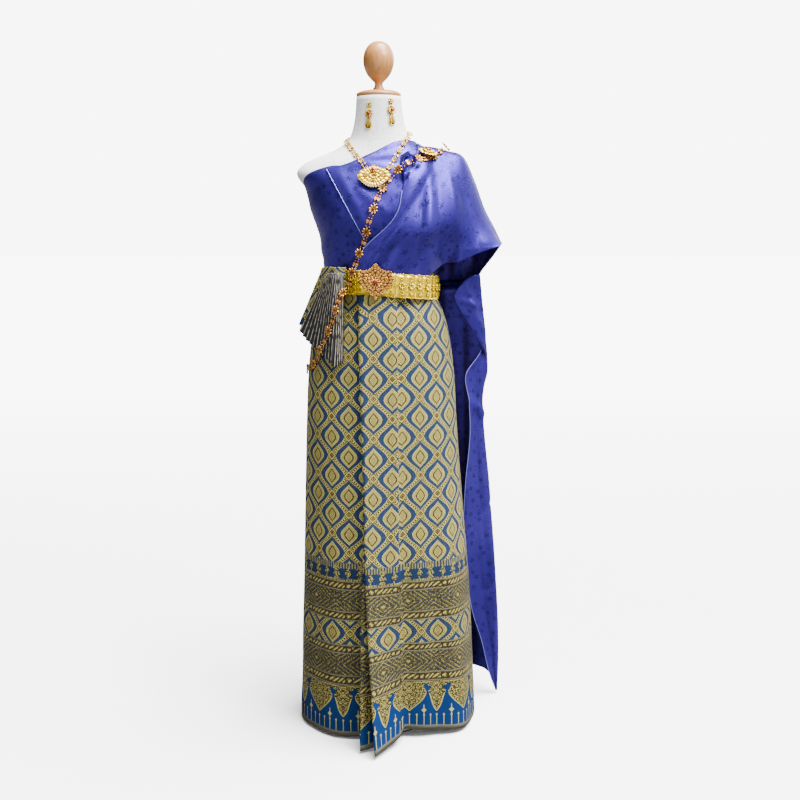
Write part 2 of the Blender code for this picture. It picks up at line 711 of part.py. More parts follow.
def make_tail(parts, hang):
    """The long end behind the hip, doubled forward along its outer fold."""
    grid = []
    for t in spread(0.0, 1.0, TAIL_ROWS):
        row = []
        top_row = t > 1 - 1e-9
        for n in range(TAIL_BACK_POINTS):
            share = n / (TAIL_BACK_POINTS - 1)
            bottom = BACK_BOTTOM + (TAIL_LEVELS[0].z - BACK_BOTTOM) * share**BOTTOM_CORNER
            z = bottom + (TAIL_TOP - bottom) * t
            ends = {name: track(TAIL_LEVELS, name, z) for name in Tail._fields[1:]}
            x = ends["inner_x"] + (ends["fold_x"] - ends["inner_x"]) * share
            y = ends["inner_y"] + (ends["fold_y"] - ends["inner_y"]) * share
            y += ends["wave"] * math.sin(2 * math.pi * TAIL_WAVES * share) * (1 - share)
            if top_row:
                place = through(hang, share)
                x, y, z = place.x, place.y, place.z - TAIL_SEAM
            row.append(Vector((x, y, z)))
        for n in range(1, TAIL_FLAP_POINTS + 1):
            share = n / TAIL_FLAP_POINTS
            bottom = TAIL_LEVELS[0].z
            z = bottom + (TAIL_TOP - bottom) * t
            ends = {name: track(TAIL_LEVELS, name, z) for name in Tail._fields[1:]}
            x = ends["fold_x"] + (ends["flap_x"] - ends["fold_x"]) * share
            turn = 0.004 * math.sin(math.pi * min(share * 2, 1.0))
            y = ends["fold_y"] + (ends["flap_y"] - ends["fold_y"]) * (0.3 + 0.7 * share) - turn
            if top_row:
                corner = row[TAIL_BACK_POINTS - 1]
                x, y, z = corner.x - 0.003 * share, corner.y - 0.004 * share, corner.z - 0.003
            row.append(Vector((x, y, z)))
        grid.append(row)
    return add_sheet(parts, "sabai_tail", grid, "satin", SATIN)


def make_cascade(parts, tail):
    """The turned edge that falls in a point below the cape."""
    low, high = CASCADE_LEVELS[0].z, CASCADE_LEVELS[-1].z
    grid = []
    for z in spread(low, high, CASCADE_ROWS):
        row = []
        for share in spread(0.0, 1.0, CASCADE_POINTS):
            ends = {name: track(CASCADE_LEVELS, name, z) for name in Cascade._fields[1:]}
            x = ends["free_x"] + (ends["fold_x"] - ends["free_x"]) * share
            y = ends["free_y"] + (ends["fold_y"] - ends["free_y"]) * share
            row.append(Vector((x, y - 0.006 * math.sin(math.pi * share), z)))
        grid.append(row)
    grid = draped(grid, [tail], reach=BELT_REACH)
    return add_sheet(parts, "sabai_cascade", grid, "satin", SATIN)


def fan_grid(rays, columns, rows, below, depth_top=0.0, depth_foot=0.0):
    """A sheet spread along rays, laid on what is below, then raised in knife pleats."""
    grid = []
    for v in spread(0.0, 1.0, rows):
        row = []
        for s in spread(0.0, 1.0, columns):
            foot = Vector((track(rays, "foot_x", s), track(rays, "foot_z", s)))
            top = Vector((track(rays, "top_x", s), track(rays, "top_z", s)))
            x, z = foot.lerp(top, v)
            row.append(Vector((x, FAN_SEED_Y + 0.9 * max(-0.09 - x, 0.0), z)))
        grid.append(row)
    grid = draped(grid, below)
    if depth_foot == 0.0:
        return grid
    normals = normals_of(grid)
    for row, v in enumerate(spread(0.0, 1.0, rows)):
        depth = depth_foot + (depth_top - depth_foot) * v
        for k in range(1, columns, 2):
            grid[row][k] = grid[row][k] + normals[row][k] * depth
    return grid


def make_fan(parts, below):
    turnover = fan_grid(TURNOVER_RAYS, TURNOVER_COLUMNS, TURNOVER_ROWS, below)
    made = add_sheet(parts, "skirt_turnover", turnover, "brocade", BROCADE)
    columns = 2 * FAN_PLEATS + 1
    pleats = fan_grid(
        FAN_RAYS, columns, FAN_ROWS, [*below, made], FAN_TOP_DEPTH, FAN_HEM_DEPTH
    )
    fan = add_sheet(parts, "skirt_fan", pleats, "reverse", BROCADE)
    return made, fan


def hull_round(snug, loose, low, high):
    """The taut outline in plan round the snug objects and what lies close on them."""
    snug_tree, loose_tree = tree_of(snug), tree_of(loose)
    points = []
    for z in spread(low, high, 5):
        for n in range(180):
            angle = math.radians(2 * n)
            out = Vector((math.sin(angle), -math.cos(angle), 0.0))
            start = Vector((AXIS_X, 0.0, z)) + out
            hit = snug_tree.ray_cast(start, -out, 1.0)
            over = loose_tree.ray_cast(start, -out, 1.0)
            if over[0] is not None and 0.0 < hit[3] - over[3] < LOOSE_LAYER:
                hit = over
            points.append((hit[0].x, hit[0].y))
    return [Vector(points[n]) for n in convex_hull_2d(points)]


def evenly(corners, count):
    """Points at even distances along a closed outline."""
    closed = [*corners, corners[0]]
    lengths = [(b - a).length for a, b in zip(closed, closed[1:])]
    total = sum(lengths)
    found = []
    k, passed = 0, 0.0
    for n in range(count):
        want = total * n / count
        while passed + lengths[k] < want:
            passed += lengths[k]
            k += 1
        found.append(closed[k].lerp(closed[k + 1], (want - passed) / lengths[k]))
    return found


def make_belt(parts, snug, loose):
    """A taut band of ribbed plates, a little lower at the left hip."""
    low = BELT_FRONT_Z - BELT_HEIGHT / 2 - BELT_DROP
    high = BELT_FRONT_Z + BELT_HEIGHT / 2
    outline = evenly(hull_round(snug, loose, low, high), 2 * BELT_PLATES)
    middle = sum(outline, Vector((0, 0))) / len(outline)
    grid = []
    for side in (-0.5, 0.5):
        row = []
        for n, point in enumerate(outline):
            out = (point - middle).normalized()
            place = point + out * REST_GAP
            drop = BELT_DROP * min(max((place.x + 0.02) / 0.15, 0.0), 1.0)
            row.append(Vector((place.x, place.y, BELT_FRONT_Z - drop + side * BELT_HEIGHT)))
        grid.append(row)
    grid = draped(grid, [*snug, *loose], closed=True, reach=BELT_REACH)
    for row, out in zip(grid, normals_of(grid, closed=True)):
        for n in range(0, len(row), 2):
            row[n] = row[n] + out[n] * PLATE_RELIEF
    return add_sheet(parts, "belt_band", grid, "gold", BELT_THICKNESS, closed=True)


def star_outline(plate, steps=5):
    """A scalloped outline, pointed at its four ends."""
    points = []
    count = plate.scallops * steps
    for n in range(count):
        angle = 2 * math.pi * n / count
        radius = 1.0 - plate.scallop * abs(math.sin(plate.scallops * angle / 2))
        points.append((
            radius * plate.half_width * math.cos(angle),
            radius * plate.half_height * math.sin(angle),
        ))
    return points


def flat_plate(parts, name, outline, finish, thickness=PLATE):
    """A flat outline with a thickness, its back at the object's z = 0."""
    curve = bpy.data.curves.new(name, "CURVE")
    curve.dimensions = "2D"
    curve.fill_mode = "BOTH"
    curve.extrude = thickness / 2
    line = curve.splines.new("POLY")
    line.points.add(len(outline) - 1)
    for point, (x, y) in zip(line.points, outline):
        point.co = (x, y, 0.0, 1.0)
    line.use_cyclic_u = True
    return add_object(parts, name, curve, finish)


def seat(plate, outline, aim, inward, below, thickness=PLATE):
    """Lays a plate on what is below, facing out as that surface does, just clear of it."""
    tree = tree_of(below)
    width = max(abs(u) for u, _ in outline)
    height = max(abs(v) for _, v in outline)
    inward = Vector(inward).normalized()
    start = Vector(aim) - inward
    corners = []
    for u, v in [(0, 0), (-1, 0), (1, 0), (0, -1), (0, 1)]:
        across = Vector((u * width * 0.7, 0, v * height * 0.7))
        hit = tree.ray_cast(start + across, inward, 3.0)
        corners.append(hit[0])
    centre, left, right, low, high = corners
    out = (right - left).cross(high - low).normalized()
    across = (right - left - out * (right - left).dot(out)).normalized()
    up = out.cross(across)
    rise = -1.0
    for u, v in outline:
        for share in (0.0, 0.25, 0.5, 0.75, 1.0):
            point = centre + across * (u * share) + up * (v * share)
            hit = tree.ray_cast(point + out * REACH, -out, 2 * REACH)
            if hit[0] is not None:
                rise = max(rise, REACH - hit[3])
    place = centre + out * (rise + PLATE_GAP + thickness / 2)
    turn = Matrix((across, up, out)).transposed().to_4x4()
    plate.matrix_world = Matrix.Translation(place) @ turn
    bpy.context.view_layer.update()
    return place, up, out


def make_stone(parts, name, radius, place, out):
    """A round stone, domed in front and flat behind, just off its plate."""
    mesh = bpy.data.meshes.new(name)
    work = bmesh.new()
    bmesh.ops.create_uvsphere(work, u_segments=10, v_segments=6, radius=radius)
    behind = [vertex for vertex in work.verts if vertex.co.z < -1e-6]
    for vertex in behind:
        vertex.co.z = -0.12 * radius
    bmesh.ops.dissolve_limit(
        work, angle_limit=math.radians(1), verts=work.verts, edges=work.edges
    )
    work.to_mesh(mesh)
    work.free()
    stone = add_object(parts, name, mesh, "red_stone")
    turn = Vector((0, 0, 1)).rotation_difference(out)
    stone.rotation_mode = "QUATERNION"
    stone.rotation_quaternion = turn
    stone.location = place + out * (PLATE / 2 + SEAM_GAP + 0.12 * radius)
    for vertex in mesh.vertices:
        vertex.co.z *= 0.6
    mesh.shade_smooth()
    return stone


def make_plates(parts, below):
    """The buckle, pendant and brooch, each with its stone."""
    for name, shape, finish in [
        ("belt_buckle", BUCKLE, "rose_gold"),
        ("pendant", PENDANT, "gold"),
        ("brooch", BROOCH, "gold"),
    ]:
        outline = star_outline(shape)
        plate = flat_plate(parts, name, outline, finish)
        place, up, out = seat(plate, outline, shape.aim, shape.inward, below)
        short = name.removeprefix("belt_")
        stone = STONES[short]
        make_stone(parts, f"{short}_stone", stone.radius, place + up * stone.rise, out)


def make_chain(parts, name, path, pitch, star, below, finish):
    """A closed ribbon along the path, as wide as a star at each link and narrow between."""
    tree = tree_of(below)
    coarse = 8 * len(path)
    seeds = []
    for n in range(coarse):
        point = through(path, n / coarse, closed=True)
        core = Vector((0.01, 0.0, min(point.z, 1.16)))
        out = (point - core).normalized()
        hit = tree.ray_cast(core + out * 0.7, -out, 0.7)
        seeds.append(hit[0] + out * REST_GAP if hit[0] is not None else point)
    for _ in range(3):
        seeds = [
            (seeds[n - 1] + 2 * seeds[n] + seeds[(n + 1) % coarse]) / 4 for n in range(coarse)
        ]
    length = sum((seeds[n] - seeds[n - 1]).length for n in range(coarse))
    links = max(round(length / pitch), 3)
    centre = evenly(seeds, links * STEPS_PER_LINK)
    count = len(centre)
    grid, outward = [[], []], []
    for n in range(count):
        along = (centre[(n + 1) % count] - centre[n - 1]).normalized()
        core = Vector((0.01, 0.0, min(centre[n].z, 1.16)))
        outward.append((centre[n] - core).normalized())
        across = along.cross(outward[n]).normalized()
        half = max(star * LINK_PROFILE[n % STEPS_PER_LINK], STRAND_HALF_WIDTH)
        grid[0].append(centre[n] + across * half)
        grid[1].append(centre[n] - across * half)
    grid = draped(
        grid, below, CHAIN_GAP, closed=True, reach=CHAIN_REACH, outward=[outward, outward]
    )
    return add_sheet(parts, name, grid, finish, PLATE, closed=True)


def make_earrings(parts, torso):
    """A flower, a drop and a fan of fringes as one flat plate, pinned on the neck."""
    outline = []
    for n in range(9):
        angle = math.radians(200 + 140 * n / 8)
        outline.append((
            EARRING_HALF_WIDTH * math.cos(angle),
            -EARRING_HALF_HEIGHT * 0.25 + EARRING_HALF_HEIGHT * 0.75 * math.sin(angle),
        ))
    for width, height in [(0.55, 0.25), (0.28, 0.45), (0.42, 0.72), (0.20, 1.0)]:
        outline.append((EARRING_HALF_WIDTH * width, EARRING_HALF_HEIGHT * height))
    for width, height in [(0.20, 1.0), (0.42, 0.72), (0.28, 0.45), (0.55, 0.25)]:
        outline.append((-EARRING_HALF_WIDTH * width, EARRING_HALF_HEIGHT * height))
    for name, (x, z) in EARRINGS.items():
        plate = flat_plate(parts, name, outline, "gold", PLATE * 0.75)
        seat(plate, outline, (x, -0.1, z), (0, 1, 0), [torso], PLATE * 0.75)


def main():
    parts = clear_scene()
    torso = make_form(parts)
    wrap = make_wrap(parts, torso)
    skirt = make_skirt(parts)
    front = make_front(parts, [torso, wrap])
    shoulder, hang = make_shoulder(parts, [torso, wrap, skirt, front])
    tail = make_tail(parts, hang)
    make_cascade(parts, tail)
    cloth = [torso, wrap, skirt, front, shoulder]
    belt = make_belt(parts, [wrap, skirt], [shoulder])
    turnover, fan = make_fan(parts, [*cloth, belt])
    under = [*cloth, belt, turnover, fan]
    chain = make_chain(
        parts, "sangwan", CHAIN_PATH, LINK_PITCH, STAR_RADIUS, under, "rose_gold"
    )
    necklace = make_chain(
        parts, "necklace", NECKLACE_PATH, NECKLACE_PITCH, NECKLACE_STAR, [*under, chain], "gold"
    )
    make_plates(parts, [*under, chain, necklace])
    make_earrings(parts, torso)


main()
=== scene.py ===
# %% [markdown]
# # A Thai formal dress on its stand
# A chut thai is a set of cloths and jewellery: a brocade skirt pleated in front, a satin shoulder
# cloth, a gold belt, a body chain, a brooch, a necklace and earrings. Here it is dressed on a
# limbless form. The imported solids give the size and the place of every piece. This lesson dresses
# them piece by piece, from the form outwards, because each cloth rests on what is under it.

import json
import math
from bisect import bisect_right
from collections import namedtuple

import bmesh
import bpy
from mathutils import Matrix, Vector
from mathutils.bvhtree import BVHTree
from mathutils.geometry import convex_hull_2d

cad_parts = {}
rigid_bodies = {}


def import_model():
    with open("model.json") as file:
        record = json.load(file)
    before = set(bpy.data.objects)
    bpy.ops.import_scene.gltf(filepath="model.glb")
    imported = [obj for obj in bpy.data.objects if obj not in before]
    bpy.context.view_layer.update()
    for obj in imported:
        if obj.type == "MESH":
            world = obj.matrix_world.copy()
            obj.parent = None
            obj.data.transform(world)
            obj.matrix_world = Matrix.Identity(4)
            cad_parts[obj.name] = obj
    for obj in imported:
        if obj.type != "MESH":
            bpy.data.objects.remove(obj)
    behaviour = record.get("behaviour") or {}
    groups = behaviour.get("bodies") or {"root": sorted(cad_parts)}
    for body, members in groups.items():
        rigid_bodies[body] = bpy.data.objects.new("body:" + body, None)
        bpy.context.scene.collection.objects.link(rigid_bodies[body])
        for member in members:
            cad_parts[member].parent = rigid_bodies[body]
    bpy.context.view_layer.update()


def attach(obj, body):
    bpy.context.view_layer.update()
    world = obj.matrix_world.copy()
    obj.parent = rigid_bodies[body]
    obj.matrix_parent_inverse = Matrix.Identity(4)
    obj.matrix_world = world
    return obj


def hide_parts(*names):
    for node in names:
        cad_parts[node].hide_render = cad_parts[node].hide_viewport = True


for startup in list(bpy.data.objects):
    bpy.data.objects.remove(startup, do_unlink=True)
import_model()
scene = bpy.context.scene

# %% [markdown]
# Tables hold the measured places of each piece, and a smooth curve runs through their rows. A
# real maker does the same: a few marks on the cloth, and an even line drawn through them.

# %% Curves through tables and points
def track(rows, column, at):
    """A table's column at a value of its first column, on a smooth curve through the rows."""
    keys = [row[0] for row in rows]
    values = [getattr(row, column) for row in rows]
    if isinstance(values[0], tuple):
        values = [Vector(value) for value in values]
    if at <= keys[0]:
        return values[0]
    if at >= keys[-1]:
        return values[-1]
    k = bisect_right(keys, at) - 1

    def slope(n):
        low, high = max(n - 1, 0), min(n + 1, len(keys) - 1)
        return (values[high] - values[low]) / (keys[high] - keys[low])

    span = keys[k + 1] - keys[k]
    t = (at - keys[k]) / span
    return (
        values[k] * (2 * t**3 - 3 * t**2 + 1)
        + slope(k) * span * (t**3 - 2 * t**2 + t)
        + values[k + 1] * (3 * t**2 - 2 * t**3)
        + slope(k + 1) * span * (t**3 - t**2)
    )


def through(points, t, closed=False):
    """A point at t (0 to 1) of the smooth curve through the points."""
    count = len(points) if closed else len(points) - 1
    place = min(max(t, 0.0), 1.0) * count
    k = min(int(place), count - 1)
    t = place - k

    def point(n):
        return Vector(points[n % len(points)] if closed else points[min(max(n, 0), count)])

    a, b, c, d = point(k - 1), point(k), point(k + 1), point(k + 2)
    return 0.5 * (
        2 * b + (c - a) * t + (2 * a - 5 * b + 4 * c - d) * t**2 + (3 * b - a - 3 * c + d) * t**3
    )


def spread(low, high, count):
    return [low + (high - low) * n / (count - 1) for n in range(count)]


def section_point(half_width, front, back, power, centre, angle):
    """A point of a rounded section at an angle from the front, towards +X."""
    s, c = math.sin(angle), math.cos(angle)
    x = centre + half_width * math.copysign(abs(s) ** (2 / power), s)
    depth = front if c > 0 else back
    return x, -depth * math.copysign(abs(c) ** (2 / power), c)

# %% [markdown]
# Cloth is a thin shell. Each one starts as a grid of points from hem to top, with a UV map in
# metres along its threads, so a woven pattern keeps its real size and follows every fold.
# Solidify then gives it the thickness of the cloth.

# %% Sheets of cloth from grids
BROCADE = 0.0012
SATIN = 0.0010
REST_GAP = 0.0005
SEAM_GAP = 0.0003
AXIS_X = 0.003


def lengths_along(line):
    """How far each point is along a line of points."""
    found = [0.0]
    for a, b in zip(line, line[1:]):
        found.append(found[-1] + (b - a).length)
    return found


def plain_threads(grid, closed=False):
    """UV in metres: along the middle row and up the middle column."""
    middle = grid[len(grid) // 2]
    across = lengths_along([*middle, middle[0]] if closed else middle)
    up = lengths_along([row[len(row) // 2] for row in grid])
    return [[(u, v) for u in across] for v in up]


def grid_mesh(name, grid, threads=None, closed=False):
    mesh = bpy.data.meshes.new(name)
    columns = len(grid[0])
    cells = columns if closed else columns - 1
    points = [tuple(point) for row in grid for point in row]
    faces, corners = [], []
    for row in range(len(grid) - 1):
        for k in range(cells):
            after = (k + 1) % columns
            low, high = row * columns, (row + 1) * columns
            faces.append((low + k, low + after, high + after, high + k))
            corners.append(((row, k), (row, k + 1), (row + 1, k + 1), (row + 1, k)))
    mesh.from_pydata(points, [], faces)
    if threads:
        layer = mesh.uv_layers.new(name="threads")
        flat = [threads[row][k] for face in corners for row, k in face]
        layer.data.foreach_set("uv", [value for pair in flat for value in pair])
    mesh.shade_smooth()
    return mesh


def add_piece(name, mesh, material, *replaced):
    """A finished piece that rides on the body and stands for its solids."""
    piece = bpy.data.objects.new(name, mesh)
    scene.collection.objects.link(piece)
    mesh.materials.append(material)
    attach(piece, "root")
    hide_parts(*replaced)
    return piece


def add_cloth(name, grid, material, thickness, *replaced, threads=None, closed=False, offset=1.0):
    mesh = grid_mesh(name, grid, threads or plain_threads(grid, closed), closed)
    piece = add_piece(name, mesh, material, *replaced)
    wall = piece.modifiers.new("wall", "SOLIDIFY")
    wall.thickness = thickness
    wall.offset = offset
    return piece


def flat_area(mesh):
    return sum(face.area for face in mesh.polygons)


# %% [markdown]
# A cloth laid over another has to clear it everywhere. Rays cast back along the cloth's outward
# direction find what is below, and each point is lifted to rest just above it.

# %% Laying one thing on another
PROBES = (0.5,)
REACH = 0.12
CLOSE_REACH = 0.03


def tree_of(objects):
    """One search tree over the finished surfaces of the objects."""
    bpy.context.view_layer.update()
    graph = bpy.context.evaluated_depsgraph_get()
    points, faces = [], []
    for thing in objects:
        seen = thing.evaluated_get(graph)
        mesh = seen.to_mesh()
        start = len(points)
        points.extend(thing.matrix_world @ vertex.co for vertex in mesh.vertices)
        faces.extend(tuple(start + n for n in face.vertices) for face in mesh.polygons)
        seen.to_mesh_clear()
    return BVHTree.FromPolygons(points, faces)


def normals_of(grid, closed=False):
    """The outward direction at each point of a grid."""
    mesh = grid_mesh("probe", grid, closed=closed)
    columns = len(grid[0])
    found = [
        [mesh.vertices[row * columns + k].normal.copy() for k in range(columns)]
        for row in range(len(grid))
    ]
    bpy.data.meshes.remove(mesh)
    return found


def around(grid, row, k, closed):
    """Points half a cell round a grid point, where the cloth could touch what is below."""
    here = grid[row][k]
    columns = len(grid[0])
    found = [here]
    for d_row in (-1, 0, 1):
        for d_k in (-1, 0, 1):
            other_row = row + d_row
            other_k = (k + d_k) % columns if closed else k + d_k
            if 0 <= other_row < len(grid) and 0 <= other_k < columns:
                there = grid[other_row][other_k]
                found.extend(here.lerp(there, share) for share in PROBES)
    return found


def smoothed(lifts, closed):
    """Lifts made even without going below any point's own need: the widest of each
    neighbourhood, then its mean."""

    def pooled(values, pool):
        rows, columns = len(values), len(values[0])
        made = []
        for row in range(rows):
            line = []
            for k in range(columns):
                near = [
                    values[r][c % columns]
                    for r in range(max(row - 1, 0), min(row + 2, rows))
                    for c in range(k - 1, k + 2)
                    if closed or 0 <= c < columns
                ]
                line.append(pool(near))
            made.append(line)
        return made

    return pooled(pooled(lifts, max), lambda near: sum(near) / len(near))


def draped(grid, below, gap=REST_GAP, closed=False, passes=2, reach=REACH, outward=None):
    """The grid lifted outwards, along its own normals if no directions are given, until it clears
    what is below by the gap."""
    tree = tree_of(below)
    for _ in range(passes):
        normals = outward or normals_of(grid, closed)
        lifts = []
        for row, points in enumerate(grid):
            line = []
            for k, point in enumerate(points):
                out = normals[row][k]
                need = 0.0
                for probe in around(grid, row, k, closed):
                    hit = tree.ray_cast(probe + out * reach, -out, reach + gap)
                    if hit[0] is not None:
                        need = max(need, reach - hit[3] + gap)
                line.append(need)
            lifts.append(line)
        lifts = smoothed(lifts, closed)
        grid = [
            [point + normals[row][k] * lifts[row][k] for k, point in enumerate(points)]
            for row, points in enumerate(grid)
        ]
    return grid


# %% [markdown]
# The picture was taken in a bright studio: a pale floor that runs into a pale background, one
# large soft light high on the right, and fill from all round. The camera stands a little above
# the belt and looks slightly down.

# %% Camera, floor and lights
LENS = 50.0
CAMERA_PLACE = (0.048, -2.42, 1.131)
CAMERA_TILT = math.atan(183 / 1111.11)
FLOOR_HALF = 30.0
BACKDROP = (1.0, 1.0, 0.985)
BACKDROP_STRENGTH = 8.0
ROOM_COLOUR = (0.93, 0.95, 1.0)
ROOM_DARK = 0.07
ROOM_BRIGHT = 1.3
BRIGHT_SIDE = Vector((0.55, -0.50, 0.67))

camera = bpy.data.objects.new("camera", bpy.data.cameras.new("camera"))
camera.data.lens = LENS
camera.location = CAMERA_PLACE
camera.rotation_euler = (math.pi / 2 - CAMERA_TILT, 0.0, 0.0)
scene.collection.objects.link(camera)
scene.camera = camera

# The backdrop is white to the camera. The room that lights the dress is bright on the right and
# dark on the left, as the picture's shading shows.
sky = bpy.data.worlds.new("studio")
scene.world = sky
sky.use_nodes = True
sky_nodes, sky_links = sky.node_tree.nodes, sky.node_tree.links
room = sky_nodes["Background"]
room.inputs["Color"].default_value = (*ROOM_COLOUR, 1.0)
side = sky_nodes.new("ShaderNodeVectorMath")
side.operation = "DOT_PRODUCT"
side.inputs[1].default_value = BRIGHT_SIDE.normalized()
sky_links.new(sky_nodes.new("ShaderNodeTexCoord").outputs["Generated"], side.inputs[0])
ramp = sky_nodes.new("ShaderNodeMapRange")
ramp.interpolation_type = "SMOOTHSTEP"
for port, value in (("From Min", -0.25), ("To Min", ROOM_DARK), ("To Max", ROOM_BRIGHT)):
    ramp.inputs[port].default_value = value
sky_links.new(side.outputs["Value"], ramp.inputs["Value"])
sky_links.new(ramp.outputs["Result"], room.inputs["Strength"])
backdrop = sky_nodes.new("ShaderNodeBackground")
backdrop.inputs["Color"].default_value = (*BACKDROP, 1.0)
backdrop.inputs["Strength"].default_value = BACKDROP_STRENGTH
seen = sky_nodes.new("ShaderNodeLightPath")
either_sky = sky_nodes.new("ShaderNodeMixShader")
sky_links.new(seen.outputs["Is Camera Ray"], either_sky.inputs["Fac"])
sky_links.new(room.outputs["Background"], either_sky.inputs[1])
sky_links.new(backdrop.outputs["Background"], either_sky.inputs[2])
sky_links.new(either_sky.outputs["Shader"], sky_nodes["World Output"].inputs["Surface"])


def area_light(name, place, target, size, watts, colour=(1.0, 1.0, 1.0)):
    lamp = bpy.data.lights.new(name, "AREA")
    lamp.size = size
    lamp.energy = watts
    lamp.color = colour
    made = bpy.data.objects.new(name, lamp)
    made.location = place
    aim = Vector(target) - Vector(place)
    made.rotation_mode = "QUATERNION"
    made.rotation_quaternion = aim.to_track_quat("-Z", "Y")
    scene.collection.objects.link(made)
    return made


def overhead_light(strength, spread_degrees, direction):
    """A sun is even over the whole floor, so the floor runs into the backdrop with no edge."""
    lamp = bpy.data.lights.new("overhead", "SUN")
    lamp.energy = strength
    lamp.angle = math.radians(spread_degrees)
    made = bpy.data.objects.new("overhead", lamp)
    made.rotation_mode = "QUATERNION"
    made.rotation_quaternion = Vector(direction).to_track_quat("-Z", "Y")
    scene.collection.objects.link(made)


area_light("key", (1.8, -1.45, 3.1), (0.05, 0.0, 1.05), 1.0, 125.0, (1.0, 0.98, 0.95))
area_light("front", (-0.7, -2.6, 0.7), (0.0, 0.0, 0.45), 1.4, 11.0, (1.0, 0.99, 0.97))
area_light("rim", (1.6, 1.8, 2.2), (0.1, 0.0, 0.9), 1.2, 20.0)
overhead_light(18.5, 42.0, (-0.30, 0.12, -1.0))

floor_mesh = bpy.data.meshes.new("floor")
floor_mesh.from_pydata(
    [(x * FLOOR_HALF, y * FLOOR_HALF, -0.0005) for x, y in ((-1, -1), (1, -1), (1, 1), (-1, 1))],
    [],
    [(0, 1, 2, 3)],
)
floor = bpy.data.objects.new("floor", floor_mesh)
scene.collection.objects.link(floor)
print("camera", CAMERA_PLACE, "tilt", round(math.degrees(CAMERA_TILT), 2), "degrees")

# %% [markdown]
# Every finish is a procedural material. Pattern formulas are easier to read as sums than as long
# rows of nodes, so a small class turns Python's + - * / into Math nodes.

# %% Formulas as nodes
class Value:
    """A socket that can be added, multiplied and compared, each time with one Math node."""

    def __init__(self, tree, socket):
        self.tree = tree
        self.socket = socket

    def math(self, operation, *others, clamp=False):
        node = self.tree.nodes.new("ShaderNodeMath")
        node.operation = operation
        node.use_clamp = clamp
        for port, value in zip(node.inputs, (self, *others)):
            plug(self.tree, value, port)
        return Value(self.tree, node.outputs[0])

    def __add__(self, other):
        return self.math("ADD", other)

    __radd__ = __add__

    def __sub__(self, other):
        return self.math("SUBTRACT", other)

    def __rsub__(self, other):
        return (self * -1.0) + other

    def __mul__(self, other):
        return self.math("MULTIPLY", other)

    __rmul__ = __mul__

    def __truediv__(self, other):
        return self.math("DIVIDE", other)

    def over(self, other):
        return self.math("GREATER_THAN", other)

    def under(self, other):
        return self.math("LESS_THAN", other)

    def ends(self):
        return self.math("ABSOLUTE")

    def wave(self):
        return self.math("SINE")

    def repeat(self, length):
        """How far each place is from the middle of its own repeat."""
        return self.math("WRAP", length / 2, -length / 2)

    def mix(self, low, high):
        """low where this is 0 and high where it is 1."""
        return self * (high - low) + low

    def soft(self, low, high):
        """0 below low, 1 above high and even between."""
        node = self.tree.nodes.new("ShaderNodeMapRange")
        node.interpolation_type = "SMOOTHSTEP"
        plug(self.tree, self, node.inputs["Value"])
        node.inputs["From Min"].default_value = low
        node.inputs["From Max"].default_value = high
        return Value(self.tree, node.outputs["Result"])


def plug(tree, value, port):
    if isinstance(value, Value):
        tree.links.new(value.socket, port)
    elif isinstance(value, bpy.types.NodeSocket):
        tree.links.new(value, port)
    else:
        port.default_value = value


class Finish:
    """A new material with its Principled shader and the helpers that patterns need."""

    def __init__(self, name, **constants):
        self.material = bpy.data.materials.new(name)
        self.material.use_nodes = True
        self.tree = self.material.node_tree
        self.surface = self.tree.nodes["Principled BSDF"]
        for port, value in constants.items():
            socket = port.replace("_", " ").title().replace("Ior", "IOR")
            self.surface.inputs[socket].default_value = value

    def node(self, kind, **inputs):
        made = self.tree.nodes.new("ShaderNode" + kind)
        for port, value in inputs.items():
            plug(self.tree, value, made.inputs[port.replace("_", " ").title()])
        return made

    def threads(self):
        """u and v of the cloth, in metres."""
        uv = self.node("UVMap")
        uv.uv_map = "threads"
        parts = self.node("SeparateXYZ", vector=uv.outputs["UV"])
        return Value(self.tree, parts.outputs["X"]), Value(self.tree, parts.outputs["Y"])

    def place(self):
        return self.node("TexCoord").outputs["Object"]

    def together(self, x, y, z=0.0):
        return self.node("CombineXYZ", x=x, y=y, z=z).outputs["Vector"]

    def noise(self, vector, scale, detail=2.0, roughness=0.5):
        made = self.node("TexNoise", vector=vector, scale=scale, detail=detail, roughness=roughness)
        return Value(self.tree, made.outputs["Fac"])

    def blend(self, share, low, high):
        """A colour between two others."""
        made = self.tree.nodes.new("ShaderNodeMix")
        made.data_type = "RGBA"
        plug(self.tree, share, made.inputs["Factor"])
        for port, colour in ((6, low), (7, high)):
            if isinstance(colour, tuple):
                made.inputs[port].default_value = (*colour, 1.0)
            else:
                plug(self.tree, colour, made.inputs[port])
        return made.outputs[2]

    def colour(self, colour):
        plug(self.tree, colour, self.surface.inputs["Base Color"])

    def rough(self, value):
        plug(self.tree, value, self.surface.inputs["Roughness"])

    def relief(self, height, metres, strength=1.0):
        """Bump of that depth in metres."""
        bump = self.node("Bump", height=height, distance=metres, strength=strength)
        self.tree.links.new(bump.outputs["Normal"], self.surface.inputs["Normal"])


FLOOR_FADE = (0.5, 6.0)
FAR_GLOW = 3.2
floor_finish = Finish("floor", roughness=0.9)
floor_seen = floor_finish.node("LightPath")
floor_finish.colour(
    floor_finish.blend(floor_seen.outputs["Is Camera Ray"], (0.08, 0.08, 0.08), (0.95, 0.95, 0.94))
)
floor_finish.rough(floor_finish.noise(floor_finish.place(), 40.0).mix(0.82, 0.95))
